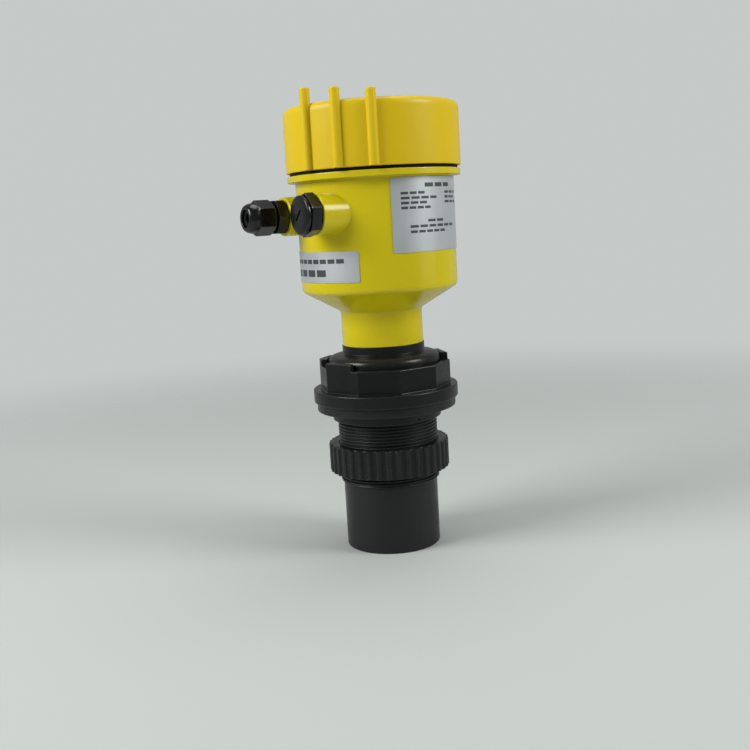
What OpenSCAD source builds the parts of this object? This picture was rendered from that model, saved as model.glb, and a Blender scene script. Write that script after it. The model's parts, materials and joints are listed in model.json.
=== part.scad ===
// Ultrasonic level sensor: a sealed probe on a threaded fitting, and above it a round housing with
// a screw lid, a cable gland and a blanking plug. It stands on the probe's tip, Z is the probe's
// axis, and the two cable entries point along -X. All sizes are in millimetres.

/* [Probe] */
// Diameter of the smooth probe
probe_d = 57; // [52:0.5:57.5]
// Length of the smooth probe
probe_len = 40; // [34:1:80]
// Wall of the probe shell
probe_wall = 3; // [2.5:0.1:4]
// Thickness of the lip that holds the sounding face
face_lip = 3; // [2:0.5:5]
// Thickness of the sounding face above its lip
face_t = 4; // [3:0.5:8]
// Diameter of the piezo disc
piezo_d = 40; // [20:1:42]
// Thickness of the piezo disc
piezo_t = 5; // [2:0.5:8]
// Diameter of the damping block behind the piezo disc
backing_d = 44; // [42.5:0.5:45]
// Height of the damping block
backing_h = 16; // [10:1:18]
// Height of the potting above the damping block
potting_h = 16; // [6:1:30]
// Diameter of the temperature sensor beside the damping block
thermistor_d = 2.4; // [1.6:0.1:2.6]

/* [Process thread] */
// Outer diameter of the thread
thread_d = 60; // [59:0.5:64]
// Length of the thread
thread_len = 38.4; // [32:0.2:60]
// Chamfer at the lower end of the thread
thread_lead = 1; // [0.5:0.1:1.5]
// Diameter of the plain shoulder above the thread
shoulder_d = 65.4; // [65:0.2:72]
// Height of the shoulder
shoulder_h = 6; // [3:0.2:10]
// Diameter of the sealing disc under the flange
seat_d = 83.6; // [76:0.2:86]
// Height of the sealing disc
seat_h = 5.4; // [3:0.2:10]

/* [Lock nut] */
// Height of the nut's lower face above the probe's tip
nut_z = 46.7; // [42:0.1:58]
// Height of the nut
nut_h = 17.5; // [10:0.5:20]
// Diameter of the nut between its ribs
nut_d = 70.4; // [67:0.2:76]
// Number of grip ribs round the nut
nut_ribs = 38; // [24:1:44]
// Width of a grip rib
nut_rib_w = 3.6; // [2.4:0.1:4]
// Height of a grip rib above the nut
nut_rib_out = 1.1; // [0.6:0.1:1.6]

/* [Flange] */
// Diameter of the flange
flange_d = 87; // [82:0.2:100]
// Height of the flange
flange_h = 7.7; // [5:0.1:12]
// Width of the wrench collar across its flats
collar_flats = 75.2; // [72.5:0.1:78]
// Height of the wrench collar above the flange
collar_h = 13.9; // [10:0.1:20]
// Turn of the wrench collar's corners about the axis
collar_turn = -1.85; // [-18:0.05:18]
// Height of the lugs above the wrench collar
lug_h = 3.7; // [2:0.1:8]
// Angle that one lug spans
lug_span = 30; // [20:1:36]
// Length of the shell's spigot inside the flange
spigot_h = 14; // [8:0.5:17]
// Diameter of the shell's spigot inside the flange
spigot_d = 62; // [58:0.5:64]
// Thickness of the web between the spigot and the neck adapter
web_t = 2.2; // [1.5:0.1:3]
// Diameter of the hole in the web
web_hole_d = 40; // [26:1:48]

/* [Neck adapter] */
// Diameter of the domed disc in the wrench collar
dome_d = 67; // [60:0.5:70]
// Gap between the domed disc and the wrench collar
dome_gap = 0.8; // [0.4:0.1:1.5]
// Height of the domed disc's rounded edge above the wrench collar
dome_rise = 5.3; // [4:0.1:7]
// Rounding of the domed disc's edge
dome_round = 3.4; // [1:0.1:4]
// Rise of the dome from its edge to the black ring
dome_slope = 1.7; // [1:0.1:4]
// Height of the black ring under the neck
ring_h = 4.8; // [3:0.1:10]
// Length of the adapter's sleeve inside the neck
sleeve_h = 15; // [10:0.5:18]
// Diameter of the passage through the adapter
passage_d = 24; // [12:1:28]
// Section of the O-ring in the neck
o_ring_d = 2.4; // [1.6:0.1:3]

/* [Housing] */
// Diameter of the neck
neck_d = 48.4; // [46:0.2:56]
// Length of the neck
neck_len = 20.4; // [19:0.1:40]
// Wall of the neck
neck_wall = 4; // [3:0.1:5]
// Height of the cone between the neck and the body
cone_h = 12.8; // [8:0.1:24]
// Diameter of the body
body_d = 92.4; // [88:0.2:110]
// Height of the straight body
body_h = 63.2; // [60:0.2:90]
// Wall of the body
wall = 3.6; // [2.6:0.1:4.2]
// Rounding of the body's lower edge
body_round = 3; // [1:0.1:5]
// Overhang of the rim beyond the body
rim_lip = 4.4; // [3:0.1:6]
// Height of the rim
rim_h = 3.6; // [2.5:0.1:6]
// Height of the ring that the lid screws onto
lid_ring_h = 14; // [10:0.5:20]
// Wall of the ring that the lid screws onto
lid_ring_wall = 3; // [2:0.1:4]
// Step from the body's outside to that ring
lid_ring_step = 1.2; // [0.8:0.1:2]

/* [Lid] */
// Thickness of the seal under the lid
lid_seal_t = 1.8; // [1:0.1:3]
// Depth of the seal behind the rim's edge
lid_seal_inset = 1.6; // [0.6:0.1:2.5]
// Height of the lid
lid_h = 36.2; // [28:0.1:50]
// Thickness of the lid's top
lid_top_t = 3.6; // [2.5:0.1:5]
// Clearance between the lid and the ring that it screws onto
lid_thread_gap = 1.2; // [0.8:0.1:1.5]
// Draft of the lid's side, from bottom to top
lid_draft = 0.1; // [0:0.1:1]
// Rounding of the lid's upper edge
lid_round = 4; // [2:0.5:5]
// Overhang of the lid beyond the rim
lid_lip = 0.4; // [0:0.1:1]
// Diameter of a round grip rib
rib_d = 5.8; // [4:0.1:8]
// Height of a grip rib beyond the lid's side
rib_out = 2.9; // [2:0.1:4]
// Rise of the lowest grip rib above the lid
rib_rise = 4.5; // [2:0.1:8]
// Extra rise from one grip rib to the next
rib_step = 1.7; // [0:0.1:2.5]
// Angle between the grip ribs of a group
rib_pitch = 22.2; // [16:0.2:30]
// Turn of the first rib group's middle when the lid is tight
rib_turn = -143.5; // [-180:0.1:180]

/* [Cable entries] */
// Height of the entries above the body's lower edge
entry_h = 44.5; // [32:0.1:48]
// Distance between the two entries
entry_pitch = 38.4; // [30:0.2:44]
// Diameter of an entry boss
boss_d = 22.4; // [20:0.2:26]
// Reach of an entry boss beyond the body
boss_out = 5.3; // [2:0.1:12]
// Length of the screw-in threads
entry_thread_len = 9; // [6:0.5:10]
// Thickness of the washers under the gland and the plug
washer_t = 1; // [0.6:0.1:2]

/* [Cable gland] */
// Diameter of the gland's screw-in thread
gland_thread_d = 12.5; // [10:0.5:16]
// Width across the gland body's flats
gland_flats = 18.8; // [17:0.1:20]
// Turn of the gland body's hexagon from a corner upright
gland_hex_turn = 30; // [0:1:59]
// Length of the gland body's hexagon
gland_hex_len = 6; // [4:0.5:10]
// Gap between the gland body's hexagon and the dome nut
gland_gap = 1.3; // [1:0.1:4]
// Width across the dome nut's flats
dome_nut_flats = 17.8; // [17:0.1:20]
// Length of the dome nut's hexagon
dome_nut_len = 10.3; // [8:0.1:14]
// Length of the dome
dome_len = 5.5; // [3:0.1:6]
// Diameter of the largest cable that the seal takes
cable_d = 6; // [4:0.1:6.5]
// Wall of the rubber seal
gland_seal_wall = 1.8; // [1.2:0.1:2]

/* [Blanking plug] */
// Diameter of the plug's thread
plug_thread_d = 16; // [12:0.5:17]
// Width across the plug's flats
plug_flats = 21.4; // [20:0.1:23]
// Length of the plug's hexagon
plug_hex_len = 6; // [3:0.5:8]
// Width of the groove in front of the hexagon
plug_groove = 0.8; // [0.6:0.1:2]
// Diameter of the plug's round head
plug_head_d = 21.6; // [20:0.2:26]
// Thickness of the plug's round head
plug_head_t = 2.4; // [2:0.1:5]
// Turn of the plug's hexagon from upright
plug_turn = 12; // [0:1:59]
// Length of the screwdriver slot
slot_len = 8.5; // [6:0.5:14]
// Width of the screwdriver slot
slot_w = 1.5; // [1:0.1:2.5]
// Depth of the screwdriver slot
slot_depth = 1.4; // [0.8:0.1:1.6]
// Turn of the screwdriver slot from upright
slot_turn = 45; // [0:1:90]

/* [Labels] */
// Width of the rating label, round the body
rating_w = 69.5; // [40:0.5:90]
// Height of the rating label
rating_h = 41; // [20:0.5:41]
// Gap between the rating label's upper edge and the rim
rating_gap = 1.2; // [0.6:0.1:6]
// Turn of the rating label's middle
rating_turn = -68.4; // [-90:0.1:-60]
// Width of the notice label, round the body
notice_w = 72; // [40:0.5:90]
// Height of the notice label
notice_h = 17.4; // [8:0.1:18]
// Height of the notice label's lower edge above the body's lower edge
notice_z = 6.3; // [5:0.1:9]
// Thickness of a label
label_t = 0.3; // [0.2:0.05:0.5]

/* [Electronics] */
// Thickness of the circuit boards
board_t = 1.6; // [1:0.1:2.4]
// Gap between the main board and the body's wall
board_gap = 4.6; // [3:0.1:6]
// Height of the main board above the body's lower edge
board_h = 13.6; // [12:0.1:18]
// Distance from the main board's edge to its fixing holes
post_inset = 4.2; // [4:0.1:5]
// Diameter of the moulded posts under the main board
post_d = 8; // [6.5:0.5:8]
// Width of the hexagonal standoffs across their flats
standoff_flats = 5.5; // [5:0.1:6]
// Diameter of the screws and studs
screw_d = 3; // [2:0.1:3]
// Diameter of the screw heads
head_d = 5.6; // [4.5:0.1:6]
// Height of the screw heads
head_h = 2.2; // [1.5:0.1:3]
// Depth of the panel's top below the top of the ring that the lid screws onto
panel_drop = 3.2; // [1:0.1:6]
// Thickness of the panel
panel_t = 3; // [2:0.1:4]
// Gap between the panel and the ring round it
panel_gap = 0.7; // [0.4:0.1:0.9]
// Distance between the panel and the display board
display_gap = 6.2; // [6:0.1:9]
// Width of the display's window
window_w = 44; // [30:0.5:46]
// Height of the display's window
window_h = 24; // [16:0.5:25]
// Diameter of a key
key_d = 7; // [5:0.1:8]
// Travel of a key
key_travel = 0.5; // [0.3:0.1:0.6]
// Height of a key above the panel
key_rise = 2.4; // [1:0.1:4]
// Distance between the keys
key_pitch = 13; // [11:0.5:14]
// Number of poles of the terminal block
poles = 5; // [3:1:6]
// Distance between the poles
pole_pitch = 5; // [4.6:0.1:5]
// Height of the terminal block above the panel
terminal_rise = 7; // [4:0.5:9]
// Diameter of the lead between the main board and the probe
lead_d = 4.6; // [3:0.1:6]

/* [Fits] */
// Gap round pieces that are bonded or pressed together
bond_gap = 0.1; // [0.05:0.01:0.2]
// Radial running fit of threads and keys
run_fit = 0.06; // [0.02:0.01:0.1]
// Gap round pieces that stay clear of each other
free_gap = 0.4; // [0.3:0.05:0.5]

/* [Hidden] */
$fn = 96;

// Heights of the fitting
thread_z = probe_len;
shoulder_z = thread_z + thread_len;
seat_z = shoulder_z + shoulder_h;
flange_z = seat_z + seat_h;
collar_z = flange_z + flange_h;
collar_top = collar_z + collar_h;
web_z = flange_z + spigot_h;
socket_z = web_z + web_t;
dome_edge_z = collar_top + dome_rise;
ring_z = dome_edge_z + dome_slope;
neck_z = ring_z + ring_h;

// Heights of the housing and the lid
cone_z = neck_z + neck_len;
body_z = cone_z + cone_h;
rim_z = body_z + body_h;
seal_z = rim_z + rim_h;
lid_z = seal_z + lid_seal_t;
lid_top = lid_z + lid_h;
lid_ring_top = seal_z + lid_ring_h;
entry_z = body_z + entry_h;

// Radii that others depend on
probe_r = probe_d / 2;
bore_r = probe_r - probe_wall;
face_ledge = 2;
face_lip_r = bore_r - face_ledge;
thread_r = thread_d / 2;
spigot_r = spigot_d / 2;
dome_r = dome_d / 2;
socket_r = dome_r + dome_gap;
neck_r = neck_d / 2;
ring_lip = 0.4;
ring_r = neck_r + ring_lip;
neck_bore_r = neck_r - neck_wall;
sleeve_r = neck_bore_r - bond_gap;
body_r = body_d / 2;
inner_r = body_r - wall;
rim_r = body_r + rim_lip;
lid_r = rim_r + lid_lip;
lid_ring_r = body_r - lid_ring_step;
lid_ring_bore = lid_ring_r - lid_ring_wall;
lid_bore = lid_ring_r + lid_thread_gap;
boss_end = body_r + boss_out;

// Heights inside the probe
face_top = face_lip + face_t;
piezo_top = face_top + piezo_t;
backing_top = piezo_top + backing_h;
potting_top = backing_top + potting_h;

// Heights and places of the electronics
board_z = body_z + board_h;
board_top = board_z + board_t;
board_r = inner_r - board_gap;
post_r = board_r - post_inset;
panel_top = lid_ring_top - panel_drop;
panel_z = panel_top - panel_t;
panel_r = min(lid_ring_bore, inner_r) - panel_gap;
display_top = panel_z - display_gap;
display_z = display_top - board_t;
display_half_w = 26.2;
display_low_y = -29.6;
display_high_y = 28;
display_post_x = 23.5;
display_post_ys = [-6, -26.6];
display_post_d = 4.6;
small_screw_d = 2;
window_y = 12.5;
lcd_margin = 3;
lcd_gap = 0.8;
lcd_h = display_gap - lcd_gap;
glass_drop = 0.6;
key_y = -9.6;
key_flange_d = key_d + 2;
key_flange_t = 1.4;
terminal_y = -23.6;
terminal_depth = 10;
terminal_end = 1.5;
terminal_w = poles * pole_pitch + 2 * terminal_end;
terminal_top = panel_top + terminal_rise;
screw_pit_d = 3.8;
screw_pit_depth = 2.4;
ribbon_y = 23;
ribbon_w = 12;
ribbon_t = 0.8;
ribbon_socket_h = 6;
lead_socket_h = 7;
lead_end_z = backing_top + 1;

// Pieces along a cable entry, measured outwards from the boss's end
gland_hex_z = washer_t;
gland_gap_z = gland_hex_z + gland_hex_len;
dome_nut_z = gland_gap_z + gland_gap;
dome_z = dome_nut_z + dome_nut_len;
dome_end_z = dome_z + dome_len;
gland_seal_r = cable_d / 2 + gland_seal_wall;
gland_cup_r = gland_seal_r + free_gap;
gland_stub_wall = 1.2;
gland_stub_r = gland_cup_r + gland_stub_wall;
stub_drop = 1.5;
gland_stub_top = dome_z - stub_drop;
dome_bore_r = gland_stub_r + free_gap;
gland_seal_z = gland_gap_z;
seal_drop = 1.6;
gland_seal_top = dome_end_z - seal_drop;
plug_hex_z = washer_t;
plug_head_z = plug_hex_z + plug_hex_len + plug_groove;
plug_groove_depth = 1.2;
plug_neck_r = plug_flats / 2 - plug_groove_depth;
washer_inset = 0.6;

// Colours, as the photograph shows them
yellow = "#d6bd22";
lid_yellow = "#d2b320";
black = "#2b2b2d";
probe_grey = "#3c3f41";
rubber = "#161616";
silver = "#b9bec6";
board_green = "#1f6b3a";
brass = "#b99a4b";
steel = "#a9abad";

function arc(cx, cy, r, a0, a1, n = 8) =
    [for (i = [0 : n]) [cx + r * cos(a0 + (a1 - a0) * i / n), cy + r * sin(a0 + (a1 - a0) * i / n)]];

module turned(points) {
    rotate_extrude() polygon(points);
}

// A tube or disc from height z, h high, with outer radius r and bore radius b
module tube(z, h, r, b) {
    difference() {
        translate([0, 0, z]) cylinder(h = h, r = r);
        translate([0, 0, z - 1]) cylinder(h = h + 2, r = b);
    }
}

// A hexagonal bar with turned-off corners at both ends
module hex_bar(z, h, flats, turn = 0) {
    corner_r = flats / 2 / cos(30);
    cut = 0.9;
    cut_h = 0.54;
    intersection() {
        translate([0, 0, z]) rotate([0, 0, turn]) cylinder(h = h, r = corner_r, $fn = 6);
        turned([
            [0, z], [corner_r - cut, z], [corner_r, z + cut_h],
            [corner_r, z + h - cut_h], [corner_r - cut, z + h], [0, z + h]
        ]);
    }
}

// Puts a piece on an entry boss: its own +Z points outwards along -X, and its +X points up
module at_entry(side) {
    translate([-boss_end, side * entry_pitch / 2, entry_z]) rotate([0, -90, 0]) children();
}

// Repeats a piece at the four board fixings
module at_posts() {
    for (turn = [0 : 90 : 270]) rotate([0, 0, turn]) translate([post_r, 0, 0]) children();
}

module at_display_posts() {
    for (x = [-display_post_x, display_post_x]) for (y = display_post_ys) translate([x, y, 0]) children();
}

// Part of a ring round the body: mid is the direction of its middle, w its width along the arc
module wrapped_plate(mid, w, z, h) {
    inner = body_r + bond_gap / 2;
    span = w / inner * 180 / PI;
    reach = 2 * body_r;
    intersection() {
        tube(z, h, inner + label_t, inner);
        translate([0, 0, z]) rotate([0, 0, mid]) linear_extrude(h) polygon([
            [0, 0], reach * [cos(span / 2), -sin(span / 2)],
            reach * [1, -tan(span / 4)], reach * [1, tan(span / 4)], reach * [cos(span / 2), sin(span / 2)]
        ]);
    }
}

module probe_shell() {
    edge = 0.5;
    color(probe_grey) turned([
        [face_lip_r, 0], [probe_r - edge, 0], [probe_r, edge], [probe_r, thread_z],
        [thread_r - thread_lead, thread_z], [thread_r, thread_z + thread_lead], [thread_r, shoulder_z],
        [shoulder_d / 2, shoulder_z], [shoulder_d / 2, seat_z], [seat_d / 2 - edge, seat_z],
        [seat_d / 2, seat_z + edge], [seat_d / 2, flange_z], [spigot_r, flange_z], [spigot_r, web_z],
        [bore_r, web_z], [bore_r, face_lip], [face_lip_r, face_lip]
    ]);
}

module face_disc() {
    color("#55585a") turned([
        [0, 0], [face_lip_r - bond_gap, 0], [face_lip_r - bond_gap, face_lip],
        [bore_r - bond_gap, face_lip], [bore_r - bond_gap, face_top], [0, face_top]
    ]);
}

module piezo_disc() {
    color("#c9c2a8") translate([0, 0, face_top]) cylinder(h = piezo_t, d = piezo_d);
}

module backing_block() {
    color("#4a4038") translate([0, 0, piezo_top]) cylinder(h = backing_h, d = backing_d);
}

module temperature_sensor() {
    ring_mid = (backing_d / 2 + bore_r) / 2;
    color("#202428") translate([ring_mid, 0, face_top])
        cylinder(h = backing_top - face_top, d = thermistor_d);
}

module potting() {
    color("#3a3c3e") difference() {
        translate([0, 0, backing_top]) cylinder(h = potting_h, r = bore_r - bond_gap);
        translate([0, 0, lead_end_z]) cylinder(h = potting_h, r = lead_d / 2 + bond_gap);
    }
}

module transducer_lead() {
    color("#1c1c1e") translate([0, 0, lead_end_z])
        cylinder(h = board_z - lead_socket_h - lead_end_z, d = lead_d);
}

module lock_nut() {
    rib_drop = 0.8;
    rib_mid = nut_d / 2 + nut_rib_out - nut_rib_w / 2;
    color(black) difference() {
        union() {
            translate([0, 0, nut_z]) cylinder(h = nut_h, d = nut_d);
            for (i = [0 : nut_ribs - 1]) rotate([0, 0, i * 360 / nut_ribs])
                translate([rib_mid, 0, nut_z + rib_drop])
                    cylinder(h = nut_h - 2 * rib_drop, d = nut_rib_w, $fn = 24);
        }
        translate([0, 0, nut_z - 1]) cylinder(h = nut_h + 2, r = thread_r + run_fit);
    }
}

// Ten-sided outline of the wrench collar
module collar_outline() {
    rotate(collar_turn) circle(r = collar_flats / 2 / cos(18), $fn = 10);
}

// Raised stretches of the wrench collar's rim, at the three directions that the photograph shows
module collar_lugs() {
    lug_turns = [-168, 137, -16];
    reach = collar_flats;
    for (turn = lug_turns) translate([0, 0, collar_top - 1]) linear_extrude(lug_h + 1) intersection() {
        collar_outline();
        rotate(turn) polygon([
            [0, 0], reach * [cos(lug_span / 2), -sin(lug_span / 2)],
            reach * [cos(lug_span / 2), sin(lug_span / 2)]
        ]);
    }
}

module process_flange() {
    edge = 0.6;
    flange_r = flange_d / 2;
    color(black) difference() {
        union() {
            turned([
                [0, flange_z], [flange_r - edge, flange_z], [flange_r, flange_z + edge],
                [flange_r, collar_z - edge], [flange_r - edge, collar_z], [0, collar_z]
            ]);
            translate([0, 0, collar_z - 1]) linear_extrude(collar_h + 1) collar_outline();
            collar_lugs();
        }
        translate([0, 0, flange_z - 1]) cylinder(h = spigot_h + 1, r = spigot_r + bond_gap);
        translate([0, 0, web_z - 1]) cylinder(h = web_t + 2, d = web_hole_d);
        translate([0, 0, socket_z]) cylinder(h = collar_h + lug_h + spigot_h, r = socket_r);
    }
}

module neck_adapter() {
    groove_z = neck_z + sleeve_h / 2;
    groove_room = 0.8;
    groove_h = o_ring_d + groove_room;
    groove_r = neck_bore_r - o_ring_d;
    lead_in = 1;
    color(black) turned(concat(
        [[passage_d / 2, socket_z], [dome_r, socket_z]],
        arc(dome_r - dome_round, dome_edge_z - dome_round, dome_round, 0, 80),
        [
            [ring_r, ring_z], [ring_r, neck_z], [sleeve_r, neck_z],
            [sleeve_r, groove_z - groove_h / 2], [groove_r - bond_gap, groove_z - groove_h / 2],
            [groove_r - bond_gap, groove_z + groove_h / 2], [sleeve_r, groove_z + groove_h / 2],
            [sleeve_r, neck_z + sleeve_h - lead_in], [sleeve_r - lead_in, neck_z + sleeve_h],
            [passage_d / 2, neck_z + sleeve_h]
        ]
    ));
}

module neck_o_ring() {
    section_r = o_ring_d / 2 - bond_gap / 2;
    color(rubber) translate([0, 0, neck_z + sleeve_h / 2]) rotate_extrude()
        translate([neck_bore_r - o_ring_d / 2 - bond_gap / 2, 0]) circle(r = section_r, $fn = 32);
}

// The body's outside, filled: neck, cone, straight body, rim and the ring that the lid screws onto
function housing_outline() = let (
    slope = atan2(body_z - cone_z, body_r - neck_r),
    tangent = body_round * tan((90 - slope) / 2),
    centre_r = body_r - body_round,
    centre_z = body_z + tangent
) concat(
    [[0, neck_z], [neck_r, neck_z], [neck_r, cone_z]],
    arc(centre_r, centre_z, body_round, slope - 90, 0),
    [
        [body_r, rim_z], [rim_r, rim_z], [rim_r, seal_z],
        [lid_ring_r, seal_z], [lid_ring_r, lid_ring_top], [0, lid_ring_top]
    ]
);

// The hollow inside the housing, open at the neck and at the top
function housing_hollow() = let (floor_rise = wall * 0.7) [
    [0, neck_z - 1], [neck_bore_r, neck_z - 1], [neck_bore_r, cone_z + floor_rise],
    [inner_r, body_z + floor_rise], [inner_r, rim_z],
    [lid_ring_bore, seal_z], [lid_ring_bore, lid_ring_top + 1], [0, lid_ring_top + 1]
];

module board_posts() {
    at_posts() translate([0, 0, neck_z]) cylinder(h = board_z - neck_z, d = post_d);
}

module housing_body() {
    stud_depth = 8;
    color(yellow) difference() {
        union() {
            turned(housing_outline());
            for (side = [-1, 1]) at_entry(side) translate([0, 0, -boss_end])
                cylinder(h = boss_end, d = boss_d);
        }
        difference() {
            turned(housing_hollow());
            board_posts();
        }
        at_entry(1) translate([0, 0, -boss_end / 2])
            cylinder(h = boss_end, r = gland_thread_d / 2 + run_fit);
        at_entry(-1) translate([0, 0, -boss_end / 2])
            cylinder(h = boss_end, r = plug_thread_d / 2 + run_fit);
        at_posts() translate([0, 0, board_z - stud_depth - 1])
            cylinder(h = stud_depth + 2, d = screw_d + 2 * bond_gap, $fn = 32);
    }
}

// One grip rib: a round rod with a chamfered top, half sunk into the lid's side
module lid_rib(top) {
    chamfer = 0.6;
    translate([lid_r + rib_out - rib_d / 2, 0, 0]) turned([
        [0, lid_z], [rib_d / 2, lid_z], [rib_d / 2, top - chamfer], [rib_d / 2 - chamfer, top], [0, top]
    ]);
}

module lid() {
    upper_r = lid_r - lid_draft;
    color(lid_yellow) difference() {
        union() {
            turned(concat(
                [[0, lid_z], [lid_r, lid_z]],
                arc(upper_r - lid_round, lid_top - lid_round, lid_round, 0, 90),
                [[0, lid_top]]
            ));
            for (group = [0, 180]) for (i = [-1 : 1])
                rotate([0, 0, rib_turn + group + i * rib_pitch])
                    lid_rib(lid_top + rib_rise + (1 - i) * rib_step);
        }
        translate([0, 0, lid_z - 1]) cylinder(h = lid_h + 1 - lid_top_t, r = lid_bore);
    }
}

module lid_seal() {
    color(rubber) tube(seal_z, lid_seal_t, rim_r - lid_seal_inset, lid_ring_r + free_gap);
}

module rating_label() {
    color(silver) wrapped_plate(rating_turn, rating_w, rim_z - rating_gap - rating_h, rating_h);
}

module notice_label() {
    color(silver) wrapped_plate(180, notice_w, body_z + notice_z, notice_h);
}

// Gland body: screw-in thread, hexagon, and the slotted cup that the dome nut closes
module gland_body() {
    stub_base = gland_gap_z - 1;
    color(black) at_entry(1) difference() {
        union() {
            translate([0, 0, -entry_thread_len])
                cylinder(h = entry_thread_len + gland_hex_z + 1, d = gland_thread_d);
            hex_bar(gland_hex_z, gland_hex_len, gland_flats, gland_hex_turn);
            translate([0, 0, stub_base]) cylinder(h = gland_stub_top - stub_base, r = gland_stub_r);
        }
        translate([0, 0, -entry_thread_len - 1])
            cylinder(h = gland_stub_top + entry_thread_len + 2, r = cable_d / 2 + free_gap);
        translate([0, 0, gland_seal_z]) cylinder(h = gland_stub_top, r = gland_cup_r);
    }
}

module gland_washer() {
    color(rubber) at_entry(1)
        tube(0, washer_t, gland_flats / 2 - washer_inset, gland_thread_d / 2 + bond_gap);
}

module gland_seal() {
    color(rubber) at_entry(1)
        tube(gland_seal_z, gland_seal_top - gland_seal_z, gland_seal_r, cable_d / 2);
}

module gland_dome_nut() {
    mouth_r = gland_seal_r + free_gap;
    nose_wall = 1.1;
    nose_r = mouth_r + nose_wall;
    dome_step = 0.2;
    dome_root_r = dome_nut_flats / 2 - dome_step;
    color(black) at_entry(1) difference() {
        union() {
            hex_bar(dome_nut_z, dome_nut_len, dome_nut_flats);
            turned(concat(
                [[0, dome_z - 1], [dome_root_r, dome_z - 1]],
                [for (i = [0 : 8]) [
                    nose_r + (dome_root_r - nose_r) * cos(i * 90 / 8), dome_z + dome_len * sin(i * 90 / 8)
                ]],
                [[0, dome_end_z]]
            ));
        }
        translate([0, 0, dome_nut_z - 1]) cylinder(h = dome_nut_len, r = dome_bore_r);
        translate([0, 0, dome_nut_z]) cylinder(h = dome_nut_len + dome_len + 1, r = mouth_r);
    }
}

module blanking_plug() {
    head_r = plug_head_d / 2;
    head_top = plug_head_z + plug_head_t;
    edge = 0.4;
    crown = 1.2;
    color(black) at_entry(-1) difference() {
        union() {
            translate([0, 0, -entry_thread_len])
                cylinder(h = entry_thread_len + plug_hex_z + 1, d = plug_thread_d);
            hex_bar(plug_hex_z, plug_hex_len, plug_flats, -plug_turn);
            translate([0, 0, plug_hex_z]) cylinder(h = plug_head_z - plug_hex_z + 1, r = plug_neck_r);
            turned([
                [0, plug_head_z], [head_r - edge, plug_head_z], [head_r, plug_head_z + edge],
                [head_r, head_top - crown], [head_r - edge, head_top - crown * 0.55],
                [head_r * 0.7, head_top - crown * 0.15], [0, head_top]
            ]);
        }
        translate([0, 0, head_top]) rotate([0, 0, -slot_turn])
            cube([slot_len, slot_w, 2 * slot_depth], center = true);
    }
}

module plug_washer() {
    color(rubber) at_entry(-1)
        tube(0, washer_t, plug_flats / 2 - washer_inset, plug_thread_d / 2 + free_gap);
}

module main_board() {
    color(board_green) difference() {
        translate([0, 0, board_z]) cylinder(h = board_t, r = board_r);
        at_posts() translate([0, 0, board_z - 1])
            cylinder(h = board_t + 2, d = screw_d + 2 * bond_gap, $fn = 32);
    }
}

// Four standoffs: a stud through the main board into its post, and a threaded hole for the panel's screw
module board_standoffs() {
    stud_len = 7;
    hole_depth = 9;
    color(brass) at_posts() difference() {
        union() {
            translate([0, 0, board_top])
                cylinder(h = panel_z - board_top, r = standoff_flats / 2 / cos(30), $fn = 6);
            translate([0, 0, board_z - stud_len])
                cylinder(h = stud_len + board_t + 1, d = screw_d, $fn = 32);
        }
        translate([0, 0, panel_z - hole_depth])
            cylinder(h = hole_depth + 1, d = screw_d + 2 * bond_gap, $fn = 32);
    }
}

module drive_transformer() {
    core = 16;
    core_h = 12;
    x = 16;
    y = -9;
    color("#c8b45a") translate([x - core / 2, y - core / 2, board_top]) cube([core, core, core_h]);
}

module capacitors() {
    tall_x = -15;
    tall_y = -10;
    tall_h = 15;
    tall_d = 10;
    short_x = -16;
    short_y = 6;
    short_h = 12;
    short_d = 8;
    color("#2a3350") {
        translate([tall_x, tall_y, board_top]) cylinder(h = tall_h, d = tall_d);
        translate([short_x, short_y, board_top]) cylinder(h = short_h, d = short_d);
    }
}

module controller_chip() {
    side = 12;
    height = 1.8;
    corner = 8;
    color("#18181a") translate([corner, corner, board_top]) cube([side, side, height]);
}

module lead_socket() {
    socket_wall = 2.5;
    socket_w = lead_d + 2 * socket_wall;
    color("#e6e2d4") translate([-socket_w / 2, -socket_w / 2, board_z - lead_socket_h])
        cube([socket_w, socket_w, lead_socket_h]);
}

module ribbon_cable() {
    low = board_top + ribbon_socket_h;
    color("#8d9096") translate([-ribbon_w / 2, ribbon_y - ribbon_t / 2, low])
        cube([ribbon_w, ribbon_t, display_z - ribbon_socket_h - low]);
}

module ribbon_sockets() {
    socket_w = ribbon_w + 2;
    socket_d = 5;
    color("#1a1a1c") for (z = [board_top, display_z - ribbon_socket_h])
        translate([-socket_w / 2, ribbon_y - socket_d / 2, z]) cube([socket_w, socket_d, ribbon_socket_h]);
}

module display_panel() {
    color("#3b4148") difference() {
        union() {
            translate([0, 0, panel_z]) cylinder(h = panel_t, r = panel_r);
            at_display_posts() translate([0, 0, display_top])
                cylinder(h = display_gap + 1, d = display_post_d, $fn = 32);
        }
        translate([-window_w / 2, window_y - window_h / 2, panel_z - 1]) cube([window_w, window_h, panel_t + 2]);
        for (i = [-1 : 1]) translate([i * key_pitch, key_y, panel_z - 1])
            cylinder(h = panel_t + 2, r = key_d / 2 + run_fit, $fn = 48);
        translate([-terminal_w / 2 - free_gap, terminal_y - terminal_depth / 2 - free_gap, panel_z - 1])
            cube([terminal_w + 2 * free_gap, terminal_depth + 2 * free_gap, panel_t + 2]);
        at_posts() translate([0, 0, panel_z - 1])
            cylinder(h = panel_t + 2, d = screw_d + 2 * bond_gap, $fn = 32);
        at_display_posts() translate([0, 0, display_top - 1])
            cylinder(h = display_gap, d = small_screw_d + 2 * bond_gap, $fn = 32);
    }
}

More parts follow.
